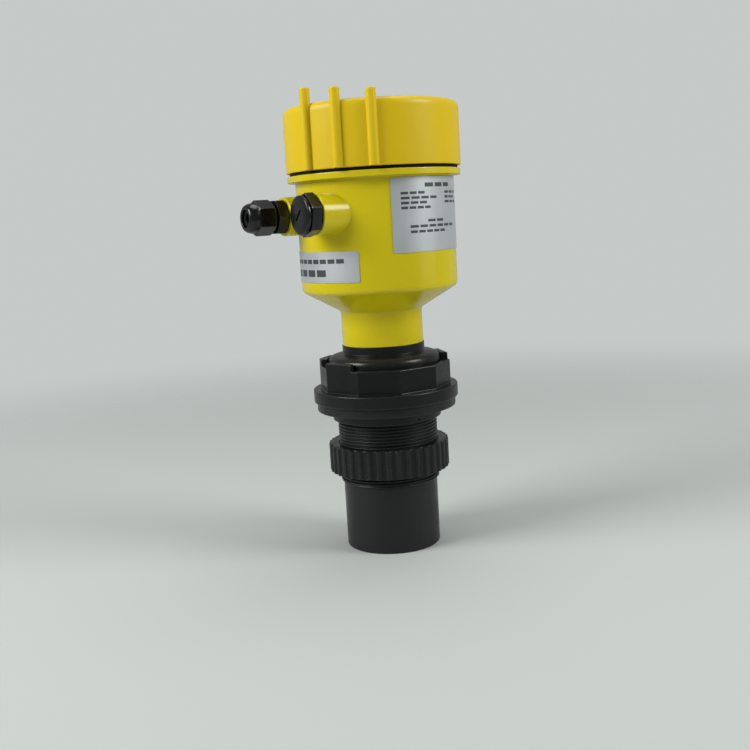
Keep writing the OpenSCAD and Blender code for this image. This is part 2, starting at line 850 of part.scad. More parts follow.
module panel_screws() {
    screw_len = 7;
    recess_w = 0.8;
    color(steel) at_posts() difference() {
        union() {
            translate([0, 0, panel_z - screw_len]) cylinder(h = screw_len + panel_t + 1, d = screw_d, $fn = 32);
            translate([0, 0, panel_top]) cylinder(h = head_h, d = head_d, $fn = 32);
        }
        for (turn = [0, 90]) translate([0, 0, panel_top + head_h]) rotate([0, 0, turn])
            cube([head_d * 0.6, recess_w, head_h], center = true);
    }
}

module display_board() {
    color(board_green) difference() {
        translate([-display_half_w, display_low_y, display_z])
            cube([2 * display_half_w, display_high_y - display_low_y, board_t]);
        at_display_posts() translate([0, 0, display_z - 1])
            cylinder(h = board_t + 2, d = small_screw_d + 2 * bond_gap, $fn = 32);
    }
}

module display_screws() {
    small_screw_len = 4;
    small_head_d = 3.8;
    small_head_h = 1.4;
    low = display_z - small_head_h;
    color(steel) at_display_posts() union() {
        translate([0, 0, low]) cylinder(h = small_head_h, d = small_head_d, $fn = 32);
        translate([0, 0, low]) cylinder(h = small_head_h + board_t + small_screw_len, d = small_screw_d, $fn = 32);
    }
}

module lcd_module() {
    w = window_w + 2 * lcd_margin;
    h = window_h + 2 * lcd_margin;
    color("#2c2f33") translate([-w / 2, window_y - h / 2, display_top]) cube([w, h, lcd_h]);
}

module lcd_glass() {
    w = window_w - 2 * free_gap;
    h = window_h - 2 * free_gap;
    low = display_top + lcd_h;
    color("#9fb08a") translate([-w / 2, window_y - h / 2, low]) cube([w, h, panel_top - glass_drop - low]);
}

// Three push switches under the keys, with room for the keys' travel
module key_switches() {
    switch_w = 6;
    top = panel_z - free_gap - key_flange_t - key_travel - free_gap;
    color("#202022") for (i = [-1 : 1])
        translate([i * key_pitch - switch_w / 2, key_y - switch_w / 2, display_top])
            cube([switch_w, switch_w, top - display_top]);
}

// One key: a cap through the panel, kept in by a flange under it
module key_cap(place) {
    crown = 0.5;
    low = panel_z - free_gap - key_flange_t;
    high = panel_top + key_rise;
    translate([place * key_pitch, key_y, 0]) turned([
        [0, low], [key_flange_d / 2, low], [key_flange_d / 2, low + key_flange_t],
        [key_d / 2, low + key_flange_t], [key_d / 2, high - crown], [key_d / 2 - crown, high], [0, high]
    ]);
}

module key_up() { color("#5d6670") key_cap(-1); }
module key_down() { color("#5d6670") key_cap(0); }
module key_set() { color("#a33a32") key_cap(1); }

// Repeats a piece at each pole of the terminal block
module at_poles() {
    for (i = [0 : poles - 1]) translate([(i - (poles - 1) / 2) * pole_pitch, terminal_y, 0]) children();
}

module terminal_block() {
    wire_entry = 3;
    entry_rise = 0.6;
    color("#2e8b57") difference() {
        translate([-terminal_w / 2, terminal_y - terminal_depth / 2, display_top])
            cube([terminal_w, terminal_depth, terminal_top - display_top]);
        at_poles() translate([0, 0, terminal_top - screw_pit_depth])
            cylinder(h = screw_pit_depth + 1, d = screw_pit_d, $fn = 32);
        at_poles() translate([-wire_entry / 2, -terminal_depth, panel_top + entry_rise])
            cube([wire_entry, terminal_depth, wire_entry]);
    }
}

module terminal_screws() {
    height = 1.8;
    slot = 0.7;
    color(steel) at_poles() translate([0, 0, terminal_top - screw_pit_depth]) difference() {
        cylinder(h = height, d = screw_pit_d - 2 * bond_gap, $fn = 32);
        translate([0, 0, height]) cube([screw_pit_d, slot, slot], center = true);
    }
}

probe_shell();
face_disc();
piezo_disc();
backing_block();
temperature_sensor();
potting();
transducer_lead();
lock_nut();
process_flange();
neck_adapter();
neck_o_ring();
housing_body();
lid();
lid_seal();
rating_label();
notice_label();
gland_body();
gland_washer();
gland_seal();
gland_dome_nut();
blanking_plug();
plug_washer();
main_board();
board_standoffs();
drive_transformer();
capacitors();
controller_chip();
lead_socket();
ribbon_cable();
ribbon_sockets();
display_panel();
panel_screws();
display_board();
display_screws();
lcd_module();
lcd_glass();
key_switches();
key_up();
key_down();
key_set();
terminal_block();
terminal_screws();
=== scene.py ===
# %% [markdown]
# # An ultrasonic level sensor
#
# The sensor hangs in the top of a tank and times the echo of its own sound pulse. A yellow
# housing with a screw lid stands on a black threaded fitting, with the probe below it. The CAD
# model is loaded as a fixed frame of solids, each on the body that moves it. Its edges are bare
# and its threads plain cylinders, so this lesson gives the mouldings round edges and real
# threads, worked out as whole numpy arrays, and every piece a finish.

# %% Load the frame
import json

import bmesh
import bpy
import numpy as np
from mathutils import Matrix

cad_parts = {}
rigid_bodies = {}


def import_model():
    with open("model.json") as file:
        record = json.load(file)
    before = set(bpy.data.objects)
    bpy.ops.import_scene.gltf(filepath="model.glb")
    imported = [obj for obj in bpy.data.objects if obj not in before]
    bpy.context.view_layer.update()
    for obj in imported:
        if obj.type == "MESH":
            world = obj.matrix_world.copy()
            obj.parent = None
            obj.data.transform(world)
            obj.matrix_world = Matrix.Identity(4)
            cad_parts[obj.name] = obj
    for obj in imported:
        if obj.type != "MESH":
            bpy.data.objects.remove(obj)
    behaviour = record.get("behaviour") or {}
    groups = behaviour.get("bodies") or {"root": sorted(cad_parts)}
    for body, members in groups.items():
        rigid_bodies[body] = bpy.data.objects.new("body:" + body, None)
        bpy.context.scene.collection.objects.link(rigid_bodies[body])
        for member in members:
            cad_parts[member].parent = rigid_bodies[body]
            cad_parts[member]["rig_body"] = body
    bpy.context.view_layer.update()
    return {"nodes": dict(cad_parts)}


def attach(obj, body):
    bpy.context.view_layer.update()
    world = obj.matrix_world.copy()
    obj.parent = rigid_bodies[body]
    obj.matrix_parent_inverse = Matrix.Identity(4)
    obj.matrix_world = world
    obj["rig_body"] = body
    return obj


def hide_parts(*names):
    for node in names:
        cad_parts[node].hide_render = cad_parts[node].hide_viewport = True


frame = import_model()
nodes = frame["nodes"]
scene = bpy.context.scene

# %% [markdown]
# ## The camera
#
# The photograph looks slightly down at the sensor, from the side where the gland and the plug
# point to the left, and it leans a little. The lens was worked out from the outlines of the round
# pieces: every ring's ellipse tells how far above or below the eye it lies. The camera's axes are
# three directions, because three angles would hide which tilt comes first.

# %% Camera
MM = 0.001
PHOTO_SIDE = 750
FOCAL_PIXELS = 988.0
EYE_PLACE = np.array([0.0, -590.5, 197.3])
yaw, pitch, roll, orbit = np.radians([-0.587, 9.02, -3.31, -32.0])

forward = np.array([np.sin(yaw) * np.cos(pitch), np.cos(yaw) * np.cos(pitch), -np.sin(pitch)])
level = np.array([np.cos(yaw), -np.sin(yaw), 0.0])
upright = np.cross(level, forward)
right = np.cos(roll) * level + np.sin(roll) * upright
above = np.cos(roll) * upright - np.sin(roll) * level
about_z = np.array([
    [np.cos(orbit), -np.sin(orbit), 0], [np.sin(orbit), np.cos(orbit), 0], [0, 0, 1]])


def placed(name, data, axes, place):
    """An object in the scene at a place, with the columns of axes as its X, Y and Z."""
    pose = np.eye(4)
    pose[:3, :3], pose[:3, 3] = axes, place
    obj = bpy.data.objects.new(name, data)
    obj.matrix_world = Matrix(pose.tolist())
    scene.collection.objects.link(obj)
    return obj


lens = bpy.data.cameras.new("camera")
lens.sensor_width = 36.0
lens.lens = FOCAL_PIXELS * lens.sensor_width / PHOTO_SIDE
lens.clip_start = 0.01
eye_axes = about_z @ np.column_stack([right, above, -forward])
eye = placed("camera", lens, eye_axes, about_z @ EYE_PLACE * MM)
scene.camera = eye
print("camera lens", round(lens.lens, 2), "mm at", np.round(eye.location, 3))

# %% [markdown]
# ## Turning grids of points into pieces
#
# Nearly every piece was turned or moulded round an axis, so a piece is a grid: one parameter goes
# round the axis and the other along the section's outline. A lathe modifier could spin a drawn
# outline, but a thread, a rib or a flat changes it on the way round, and a grid of numbers takes
# that in its stride.

# %% Grids and meshes
SHARP_ANGLE = 38
MERGE_DISTANCE = 1e-7


def quads(rows, cols, ring):
    """Corner numbers of a grid's quads: (i, j), (i + 1, j), (i + 1, j + 1), (i, j + 1). The rows
    close round the axis, and the columns close too where the outline is a ring."""
    i, j = np.meshgrid(np.arange(rows), np.arange(cols if ring else cols - 1), indexing="ij")
    i2, j2 = (i + 1) % rows, (j + 1) % cols
    corners = [i * cols + j, i2 * cols + j, i2 * cols + j2, i * cols + j2]
    return np.stack(corners, -1).reshape(-1, 4)


def shade(mesh, sharp):
    """Shades a mesh smooth, apart from edges that turn by more than so many degrees."""
    mesh.shade_smooth()
    mesh.set_sharp_from_angle(angle=np.radians(sharp))


def new_object(name, points, faces):
    """An object from points in millimetres and the corner numbers of its faces."""
    mesh = bpy.data.meshes.new(name)
    mesh.from_pydata((points * MM).tolist(), [], faces.tolist())
    return placed(name, mesh, np.eye(3), 0)


def make_piece(name, shells, sharp=SHARP_ANGLE):
    """One object from several grids in millimetres, each with a word on whether its outline is a
    ring. An outline that starts or ends on the axis is merged to one point there."""
    points = np.concatenate([grid.reshape(-1, 3) for grid, ring in shells])
    starts = np.cumsum([0] + [grid.shape[0] * grid.shape[1] for grid, ring in shells[:-1]])
    faces = [quads(*grid.shape[:2], ring) + start for (grid, ring), start in zip(shells, starts)]
    obj = new_object(name, points, np.concatenate(faces))
    if not all(ring for grid, ring in shells):
        merged = bmesh.new()
        merged.from_mesh(obj.data)
        bmesh.ops.remove_doubles(merged, verts=merged.verts, dist=MERGE_DISTANCE)
        merged.to_mesh(obj.data)
        merged.free()
    shade(obj.data, sharp)
    return obj


print("quads of an 8 by 5 grid:", len(quads(8, 5, True)))

# %% [markdown]
# ## Outlines with round edges
#
# No moulded edge is sharp: a round edge is what catches the light. Each corner of an outline says
# how far back its rounding starts. Between two roundings the outline stays straight, with one
# more point close to each, so that smooth shading doesn't spread a round edge over the flat
# beside it.

# %% Outlines
LARGEST_CUT = 0.4
SUPPORT, SUPPORT_SHARE = 0.35, 0.3
TINY = 1e-9


def rounded(corners, cuts, ring=True, steps=5):
    """Rounds an outline's corners: the parabola (1-s)^2 a + 2 s (1-s) p + s^2 b leaves the line
    before a corner p at the cut and meets the next line as far on. No cut takes more than 0.4 of
    a line. Corners may have leading axes, one outline for each step round."""
    def length(v):
        return np.maximum(np.linalg.norm(v, axis=-1, keepdims=True), TINY)

    p = np.asarray(corners, float)
    before, after = np.roll(p, 1, -2) - p, np.roll(p, -1, -2) - p
    len_b, len_a = length(before), length(after)
    cut = np.minimum(np.asarray(cuts, float)[:, None], LARGEST_CUT * np.minimum(len_b, len_a))
    a, b = p + before / len_b * cut, p + after / len_a * cut
    s = np.linspace(0, 1, steps + 1)[:, None]
    start, corner, end = a[..., None, :], p[..., None, :], b[..., None, :]
    curve = (1 - s) ** 2 * start + 2 * s * (1 - s) * corner + s**2 * end
    near = np.minimum(SUPPORT, SUPPORT_SHARE * (len_a - cut - np.roll(cut, -1, -2)))
    following = np.roll(a, -1, -2)
    way = (following - b) / length(following - b)
    row = np.concatenate([curve, np.stack([b + way * near, following - way * near], -2)], -2)
    if ring:
        return row.reshape(*p.shape[:-2], -1, 2)
    inner = row[..., 1:-1, :, :].reshape(*p.shape[:-2], -1, 2)
    first = np.concatenate([p[..., :1, :], row[..., 0, -2:, :]], -2)
    return np.concatenate([first, inner, p[..., -1:, :]], -2)


def finer(outline, step, ring=True):
    """Adds points along an outline so that none are further apart than the step."""
    closed = np.concatenate([outline, outline[:1]]) if ring else outline
    span = np.linalg.norm(np.diff(closed, axis=0), axis=1)
    length = np.concatenate([[0], np.cumsum(span)])
    parts = np.maximum(np.ceil(span / step), 1).astype(int)
    within = np.arange(parts.sum()) - np.repeat(np.cumsum(parts) - parts, parts)
    marks = np.repeat(length[:-1], parts) + within * np.repeat(span / parts, parts)
    if not ring:
        marks = np.append(marks, length[-1])
    return np.stack([np.interp(marks, length, closed[:, k]) for k in (0, 1)], -1)


def around(count):
    """Angles of equal steps round the axis."""
    return np.arange(count) * 2 * np.pi / count


def turned(angles, outline):
    """Carries an outline (r, z) round the Z axis: a point is (r cos u, r sin u, z)."""
    r = np.broadcast_to(outline[..., 0], (len(angles), outline.shape[-2]))
    z = np.broadcast_to(outline[..., 1], r.shape)
    u = angles[:, None]
    return np.stack([r * np.cos(u), r * np.sin(u), z], -1)


def fade(x, low, high):
    """0 below low, 1 above high, and the smooth step t^2 (3 - 2 t) between."""
    t = np.clip((x - low) / (high - low), 0, 1)
    return t * t * (3 - 2 * t)


square = rounded([(0, 0), (10, 0), (10, 10), (0, 10)], [1] * 4)
print("a square with round corners has", len(square), "points")

# %% [markdown]
# ## Nodes from code
#
# A finish is a small network of nodes. These helpers add one node each and give back its value,
# so that a network reads like a sum. A group is built once and placed in many materials. It gives
# only masks and heights, and the material keeps the shader, so that the exporter can read it.

# %% Node helpers
VECTOR, NUMBER = "NodeSocketVector", "NodeSocketFloat"


def feed(tree, node, links):
    """Sets a node's inputs, by number or by name, to values or to other nodes' outputs."""
    for key, source in links:
        if hasattr(source, "is_output"):
            tree.links.new(source, node.inputs[key])
        else:
            node.inputs[key].default_value = source


def add(tree, kind, links=(), **values):
    """A new node in a tree, with its properties set by name and its inputs fed."""
    node = tree.nodes.new(kind)
    for key, value in values.items():
        setattr(node, key, value)
    feed(tree, node, links)
    return node


def math(tree, operation, *values, clamp=False):
    """The result of a Math node on sockets or numbers."""
    links = enumerate(values)
    return add(tree, "ShaderNodeMath", links, operation=operation, use_clamp=clamp).outputs[0]


def noise(tree, place, scale, detail, rough):
    """A noise value at a place, with so many clouds to a metre."""
    links = [(0, place), (2, scale), (3, detail), (4, rough)]
    return add(tree, "ShaderNodeTexNoise", links).outputs[0]


def ramp(tree, value, low, high, start, end, **kind):
    """Maps a value between low and high to one between start and end, and holds it outside."""
    links = [(0, value), (1, low), (2, high), (3, start), (4, end)]
    return add(tree, "ShaderNodeMapRange", links, **kind).outputs[0]


def mix(tree, share, first, second):
    """A colour between two, where the second one is given as red, green and blue."""
    links = [(0, share), (6, first), (7, (*second, 1))]
    return add(tree, "ShaderNodeMix", links, data_type="RGBA").outputs[2]


def new_group(name, inputs, outputs):
    """A shader node group with named inputs (name, type) and outputs, and its two end nodes."""
    group = bpy.data.node_groups.new(name, "ShaderNodeTree")
    for label, kind in inputs:
        group.interface.new_socket(label, in_out="INPUT", socket_type=kind)
    for label in outputs:
        group.interface.new_socket(label, in_out="OUTPUT", socket_type=NUMBER)
    return group, group.nodes.new("NodeGroupInput"), group.nodes.new("NodeGroupOutput")


print("node helpers ready")

# %% [markdown]
# ## What every moulding shares
#
# A moulded surface is never one flat colour. Its pigment clouds a little, its gloss changes where
# it was handled, and it has a fine skin on a slight wave. An image could show that, but it would
# stretch round a turned piece; noise in the piece's own space doesn't.

# %% Moulded skin
HANDLED_SCALE, WAVE_SCALE, GRAIN_SCALE = 95.0, 60.0, 900.0
WAVE_SHARE = 2.5
moulded_skin, gin, gout = new_group(
    "moulded_skin", [("Vector", VECTOR), ("Cloud", NUMBER)], ["Tone", "Gloss", "Height"])
place = gin.outputs["Vector"]
cloud = noise(moulded_skin, place, gin.outputs["Cloud"], 3.0, 0.55)
handled = noise(moulded_skin, place, HANDLED_SCALE, 4.0, 0.6)
grain = noise(moulded_skin, place, GRAIN_SCALE, 2.0, 0.5)
wave = noise(moulded_skin, place, WAVE_SCALE, 1.0, 0.4)
height = math(moulded_skin, "MULTIPLY_ADD", wave, WAVE_SHARE, grain)
feed(moulded_skin, gout, [("Tone", cloud), ("Gloss", handled), ("Height", height)])
print("made the group", moulded_skin.name)

# %% [markdown]
# ## Rubbed edges with a painted highlight
#
# Edges that hands and tools rub turn paler, in patches, and the same paling is also a painted
# highlight, like the pale sheen that sharp edges catch. The mask is the sharpness that each piece
# carries as an attribute, times a noise, times how far the paling reaches.

# %% Rubbed edges with a painted highlight
PATCH_SCALE = 240.0
# The mask pales convex edges: wear, and a painted highlight.
worn_highlit_edge, gin, gout = new_group("worn_highlit_edge", [("Vector", VECTOR), ("Reach", NUMBER)], ["Mask"])
ridge = add(worn_highlit_edge, "ShaderNodeAttribute", attribute_name="edge").outputs["Fac"]
patches = noise(worn_highlit_edge, gin.outputs["Vector"], PATCH_SCALE, 5.0, 0.65)
wear_highlight_mask = math(worn_highlit_edge, "MULTIPLY", ridge, patches)
wear_highlight_mask = math(worn_highlit_edge, "MULTIPLY", wear_highlight_mask, gin.outputs["Reach"], clamp=True)
feed(worn_highlit_edge, gout, [("Mask", wear_highlight_mask)])
print("made the group", worn_highlit_edge.name)

# %% [markdown]
# ## Plastic, rubber and metal
#
# One recipe makes them all: two close colours mixed by the cloud, a paler colour on rubbed edges
# that is also a painted highlight, a roughness that moves between two values, and the skin as a
# bump.

# %% One recipe for the finishes
BUMP_STRENGTH, HUNDREDTH_MM = 0.5, 1e-5
GLOSS_LOW, GLOSS_HIGH = 0.3, 0.7


def moulded(
        name, colour, cloudy, wear_highlight_colour, rough, bump=0.06, metal=0.0, shine=0.4, reach=0.5,
        cloud=18.0):
    """A material whose base colour runs from colour to cloudy, and on sharp edges to the fourth
    colour, which stands for wear and a painted highlight; rough is the lowest and the highest
    roughness, and bump the depth of the skin in hundredths of a mm."""
    material = bpy.data.materials.new(name)
    material.use_nodes = True
    tree = material.node_tree
    place = add(tree, "ShaderNodeTexCoord").outputs["Object"]
    skin = add(tree, "ShaderNodeGroup", [(0, place), (1, cloud)], node_tree=moulded_skin).outputs
    edge = add(tree, "ShaderNodeGroup", [(0, place), (1, reach)], node_tree=worn_highlit_edge).outputs
    tint = mix(tree, skin["Tone"], (*colour, 1), cloudy)
    # Sharp edges turn to the paler edge colour: wear, and a painted highlight.
    tint = mix(tree, edge["Mask"], tint, wear_highlight_colour)
    gloss = ramp(tree, skin["Gloss"], GLOSS_LOW, GLOSS_HIGH, *rough)
    depth = [(0, BUMP_STRENGTH), (1, bump * HUNDREDTH_MM), ("Height", skin["Height"])]
    relief = add(tree, "ShaderNodeBump", depth).outputs[0]
    feed(tree, tree.nodes["Principled BSDF"], [
        ("Base Color", tint), ("Roughness", gloss), ("Normal", relief), ("Metallic", metal),
        ("Specular IOR Level", shine)])
    return material


housing_yellow = moulded(
    "housing_yellow", (0.51, 0.413, 0.004), (0.56, 0.46, 0.006), (0.61, 0.525, 0.04), (0.14, 0.24),
    shine=0.36, reach=0.15)
lid_yellow = moulded(
    "lid_yellow", (0.56, 0.385, 0.005), (0.61, 0.43, 0.008), (0.66, 0.52, 0.04), (0.28, 0.40),
    shine=0.20, reach=0.15)
# The black pieces' pale edge colour is wear and a painted highlight of their edges.
fitting_black = moulded(
    "fitting_black", (0.0045, 0.0045, 0.005), (0.0075, 0.0075, 0.008), (0.06, 0.06, 0.06),
    (0.24, 0.40), bump=0.10, shine=0.25, reach=0.5)
gland_black = moulded(
    "gland_black", (0.005, 0.005, 0.0055), (0.008, 0.008, 0.008), (0.05, 0.05, 0.05), (0.14, 0.26),
    bump=0.05, shine=0.4, reach=0.4)
probe_grey = moulded(
    "probe_grey", (0.0075, 0.008, 0.009), (0.011, 0.0115, 0.0125), (0.06, 0.06, 0.06), (0.32, 0.46),
    bump=0.12, shine=0.3, reach=0.5)
seal_rubber = moulded(
    "seal_rubber", (0.004, 0.004, 0.004), (0.007, 0.007, 0.0065), (0.02, 0.02, 0.02), (0.62, 0.80),
    bump=0.2, shine=0.2, reach=0.3)
print("finishes so far:", len(bpy.data.materials))

# %% [markdown]
# ## Handing a piece over
#
# A dressed piece takes its CAD solid's place and rides on the same body, so that it moves as the
# solid does. Blender can find sharp edges while it renders, but an export can't keep that. So the
# sharpness is measured here, point by point, and stays on the mesh for the rubbed edges and their
# painted highlight.

# %% Standing in for a solid
EDGE_GAIN = 6


def edge_sharpness(mesh):
    """How far each point stands out from its neighbours: the mean, over its edges, of the point's
    normal times the direction from the neighbour to it. Flat is 0 and a convex edge is near 1."""
    co = np.empty(len(mesh.vertices) * 3)
    no = np.empty_like(co)
    ends = np.empty(len(mesh.edges) * 2, int)
    mesh.vertices.foreach_get("co", co)
    mesh.vertices.foreach_get("normal", no)
    mesh.edges.foreach_get("vertices", ends)
    co, no, ends = co.reshape(-1, 3), no.reshape(-1, 3), ends.reshape(-1, 2)
    a, b = np.concatenate([ends, ends[:, ::-1]]).T
    way = co[a] - co[b]
    lean = (way * no[a]).sum(1) / np.maximum(np.linalg.norm(way, axis=1), TINY)
    total = np.bincount(a, lean, len(co))
    count = np.maximum(np.bincount(a, minlength=len(co)), 1)
    return np.clip(EDGE_GAIN * total / count, 0, 1)


def stand_for(obj, node, finish):
    """Puts the piece on its solid's body in place of the solid, with its finish."""
    edge = obj.data.attributes.new("edge", "FLOAT", "POINT")
    edge.data.foreach_set("value", edge_sharpness(obj.data).astype(np.float32))
    obj.data.materials.append(finish)
    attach(obj, nodes[node]["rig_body"])
    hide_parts(node)
    print(obj.name, "stands for", node, "with", len(obj.data.polygons), "faces")


print("the CAD lid has", len(nodes["lid"].data.polygons), "faces")

# %% [markdown]
# ## The probe and its thread
#
# Probe, thread, shoulder and sealing disc are one turned piece of grey-black plastic. A screw
# modifier would wind a tooth into a loose ribbon; here the radius itself rises and falls with the
# height minus the share of a turn, so the thread is part of the surface. A small dent in the
# shoulder is the mark where the piece was cut from its sprue.

# %% Probe outline
THREAD_R, PITCH, DEPTH, THREAD_ROWS = 30.0, 2.0, 1.15, 350
SHOULDER_R, SHOULDER_TOP, DISC_TOP, PROBE_TOP = 32.7, 84.4, 89.8, 103.8
probe_low = rounded(
    [(23.5, 3), (23.5, 0), (28.5, 0), (28.5, 40), (29.0, 40.0), (THREAD_R, 41.0), (THREAD_R, 42)],
    [0.2, 0.3, 0.7, 0.1, 0.1, 0.3, 0], ring=False)
thread_z = np.linspace(42, 77, THREAD_ROWS + 2)[1:-1]
threaded = np.stack([np.full(THREAD_ROWS, THREAD_R), thread_z], -1)
shoulder = rounded([
    (THREAD_R, 77), (THREAD_R, 78.4), (SHOULDER_R, 78.4), (SHOULDER_R, SHOULDER_TOP),
    (34, SHOULDER_TOP)], [0, 0.3, 0.6, 0.4, 0], ring=False)
probe_high = rounded([
    (36, SHOULDER_TOP), (41.8, SHOULDER_TOP), (41.8, DISC_TOP), (31, DISC_TOP), (31, PROBE_TOP),
    (25.5, PROBE_TOP), (25.5, 3.0)], [0, 0.8, 0.4, 0.2, 0.5, 0.3, 0.3], ring=False)
probe_outline = np.concatenate([probe_low, threaded, finer(shoulder, 0.5, ring=False), probe_high])
print("probe outline of", len(probe_outline), "points")

# %% [markdown]
# The thread is cut by moving points inwards, and it fades out at both ends. The steps round the
# axis are closer together where the dent is.

# %% Probe shell
CREST, FLANKS = 0.18, 0.64
MARK_TURN, MARK_Z = np.radians(272.0), 80.6
MARK_WIDE, MARK_HIGH, MARK_DEEP = 0.9, 0.8, 0.7


def thread_dip(u, z, pitch, depth):
    """How far a thread's surface lies below its crest. The phase is z / pitch - u / (2 pi); the dip
    is 0 on the crest, full in the root, with straight flanks eased at both ends."""
    phase = (z / pitch - u / (2 * np.pi)) % 1.0
    slope = np.clip((np.abs(2 * phase - 1) - CREST) / FLANKS, 0, 1)
    return depth * slope * slope * (3 - 2 * slope)


turns = np.sort(np.concatenate([around(180), MARK_TURN + np.radians(np.linspace(-3.3, 3.3, 12))]))
probe_grid = turned(turns, probe_outline)
r, z = probe_outline.T
on_thread = np.abs(r - THREAD_R) < 0.5
run_out = fade(z, 40.6, 42.2) * (1 - fade(z, 76.6, 78.0)) * on_thread
dip = thread_dip(turns[:, None], z, PITCH, DEPTH) * run_out
on_shoulder = np.abs(r - SHOULDER_R) < 0.1
off = ((turns[:, None] - MARK_TURN) * SHOULDER_R / MARK_WIDE) ** 2 + ((z - MARK_Z) / MARK_HIGH) ** 2
dip = dip + MARK_DEEP * np.exp(-off) * on_shoulder
probe_grid[..., :2] *= (1 - dip / r)[..., None]
probe = make_piece("probe_turned", [(probe_grid, True)], sharp=50)
stand_for(probe, "probe_shell", probe_grey)

# %% [markdown]
# ## The lock nut
#
# The nut that clamps the sensor in the tank's wall has 38 round grip ribs, and a faint line at
# half its height where its mould closed. The ribs are part of the radius again: each is a circle
# sunk into the nut's side, faded out near the top and the bottom.

# %% Lock nut
NUT_LOW, NUT_HIGH, NUT_R, NUT_BORE = 46.7, 64.2, 35.2, 30.06
NUT_RIBS, RIB_STEPS, RIB_CIRCLE, RIB_R, RIB_SUNK, RIB_EASE = 38, 12, 34.5, 1.8, 0.7, 0.5
SEAM_HIGH, SEAM_WIDE = 0.10, 0.35
nut_outline = finer(rounded(
    [(NUT_BORE, NUT_LOW), (NUT_R, NUT_LOW), (NUT_R, NUT_HIGH), (NUT_BORE, NUT_HIGH)],
    [0.6, 0.5, 0.5, 0.6]), 0.55)
u = around(NUT_RIBS * RIB_STEPS)
nut_grid = turned(u, nut_outline)
r, z = nut_outline.T
share = (u * NUT_RIBS / (2 * np.pi) + 0.5) % 1.0 - 0.5
across = share * (2 * np.pi * RIB_CIRCLE / NUT_RIBS)
rib = np.maximum(np.sqrt(np.maximum(RIB_R**2 - across**2, 0)) - RIB_SUNK, 0)
reach = fade(z, NUT_LOW, NUT_LOW + RIB_EASE) * (1 - fade(z, NUT_HIGH - RIB_EASE, NUT_HIGH))
reach = reach * (r > NUT_R - 0.6)
seam = SEAM_HIGH * np.exp(-(((z - (NUT_LOW + NUT_HIGH) / 2) / SEAM_WIDE) ** 2)) * (r > NUT_R - 0.01)
nut_grid[..., :2] *= (1 + (rib[:, None] * reach + seam) / r)[..., None]
nut = make_piece("lock_nut_ribbed", [(nut_grid, True)], sharp=55)
stand_for(nut, "lock_nut", fitting_black)

# %% [markdown]
# ## The flange and its wrench collar
#
# The flange is round, but the collar above it has ten flats for a wrench, and three lugs stand up
# from its rim. So the outline changes on the way round: the collar's radius is that of a figure
# with ten sides and soft corners, and its top is higher where a lug stands.

# %% Flats and changing outlines
def many_sided(u, apothem, sides, soft, turn):
    """Radius of a regular figure: apothem / cos(d) on a flat, d being the angle from its middle.
    Near a corner it is a circle of radius soft about a centre (apothem - soft) / cos(half) out."""
    half = np.pi / sides
    d = np.abs((u - turn) % (2 * half) - half)
    e = half - d
    centre = (apothem - soft) / np.cos(half)
    arc = centre * np.cos(e) + np.sqrt(np.maximum(soft**2 - (centre * np.sin(e)) ** 2, 0))
    flat = apothem / np.cos(d)
    return np.where(d < np.arctan(np.tan(half) * (apothem - soft) / apothem), flat, arc)


def steps_round(turn, sides, to_corner):
    """Angles round a regular figure: to_corner holds the steps of a flat, in degrees from its
    middle, and they are close together near the corner."""
    half = 180 / sides
    one_flat = np.radians(np.concatenate([[-half], -to_corner[::-1], [0], to_corner]))
    middles = turn + np.radians(half) + np.arange(sides)[:, None] * np.radians(2 * half)
    return (middles + one_flat).ravel()


def corner_rows(u, corners):
    """Corners (r, z) for every step round: r and z are numbers or have a value for each step."""
    rows = [np.stack(np.broadcast_arrays(r, z, u)[:2], -1) for r, z in corners]
    return np.stack(rows, 1)


print("radii of a hexagon:", many_sided(around(4), 10.0, 6, 0.5, 0.0).round(2))

# %% [markdown]
# The steps round the flange are close together at the ten corners and at the lugs' ends, and far
# apart on the flats, where nothing changes.

# %% Flange
FLATS, COLLAR_TURN, COLLAR_FLAT, COLLAR_SOFT = 10, np.radians(-1.85), 37.6, 1.6
LUGS, LUG_HALF, LUG_EASE = np.radians([-168.0, 137.0, -16.0]), np.radians(15.0), np.radians(0.45)
COLLAR_TOP, LUG_RISE, SEAT = 111.4, 3.7, 106.0
FLANGE_R, FLANGE_TOP = 43.5, 97.5
to_corner = np.array([4.5, 9, 13, 16, 17.2, 17.5, 17.7, 17.85])
end_steps = np.radians([-0.5, -0.3, -0.1, 0.1, 0.3, 0.5])
lug_steps = LUGS[:, None] + np.concatenate([end_steps - LUG_HALF, end_steps + LUG_HALF])
u = np.concatenate([steps_round(COLLAR_TURN, FLATS, to_corner), lug_steps.ravel()])
u = np.unique(np.round(u % (2 * np.pi), 5))
u = u[np.diff(u, prepend=u[-1] - 2 * np.pi) > 0.0006]
collar_r = many_sided(u, COLLAR_FLAT, FLATS, COLLAR_SOFT, COLLAR_TURN)
away = np.abs((u[:, None] - LUGS + np.pi) % (2 * np.pi) - np.pi).min(1)
collar_top = COLLAR_TOP + LUG_RISE * (1 - fade(away, LUG_HALF - LUG_EASE, LUG_HALF + LUG_EASE))
flange_corners = corner_rows(u, [
    (31.1, DISC_TOP), (FLANGE_R, DISC_TOP), (FLANGE_R, FLANGE_TOP), (collar_r, FLANGE_TOP),
    (collar_r, collar_top), (34.3, collar_top), (34.3, SEAT), (20, SEAT), (20, PROBE_TOP),
    (31.1, PROBE_TOP)])
flange_outline = rounded(flange_corners, [0.2, 0.9, 0.8, 0.6, 0.7, 0.5, 0.3, 0.3, 0.3, 0.2])
flange = make_piece("flange_collar", [(turned(u, flange_outline), True)])
stand_for(flange, "process_flange", fitting_black)

# %% [markdown]
# ## The neck adapter
#
# A black domed disc closes the collar, and a ring on it carries the yellow neck. It is a plain
# turned piece, so its outline says it all: the large round edge of the dome, the ring, and inside
# the neck a sleeve with a groove for an O-ring.

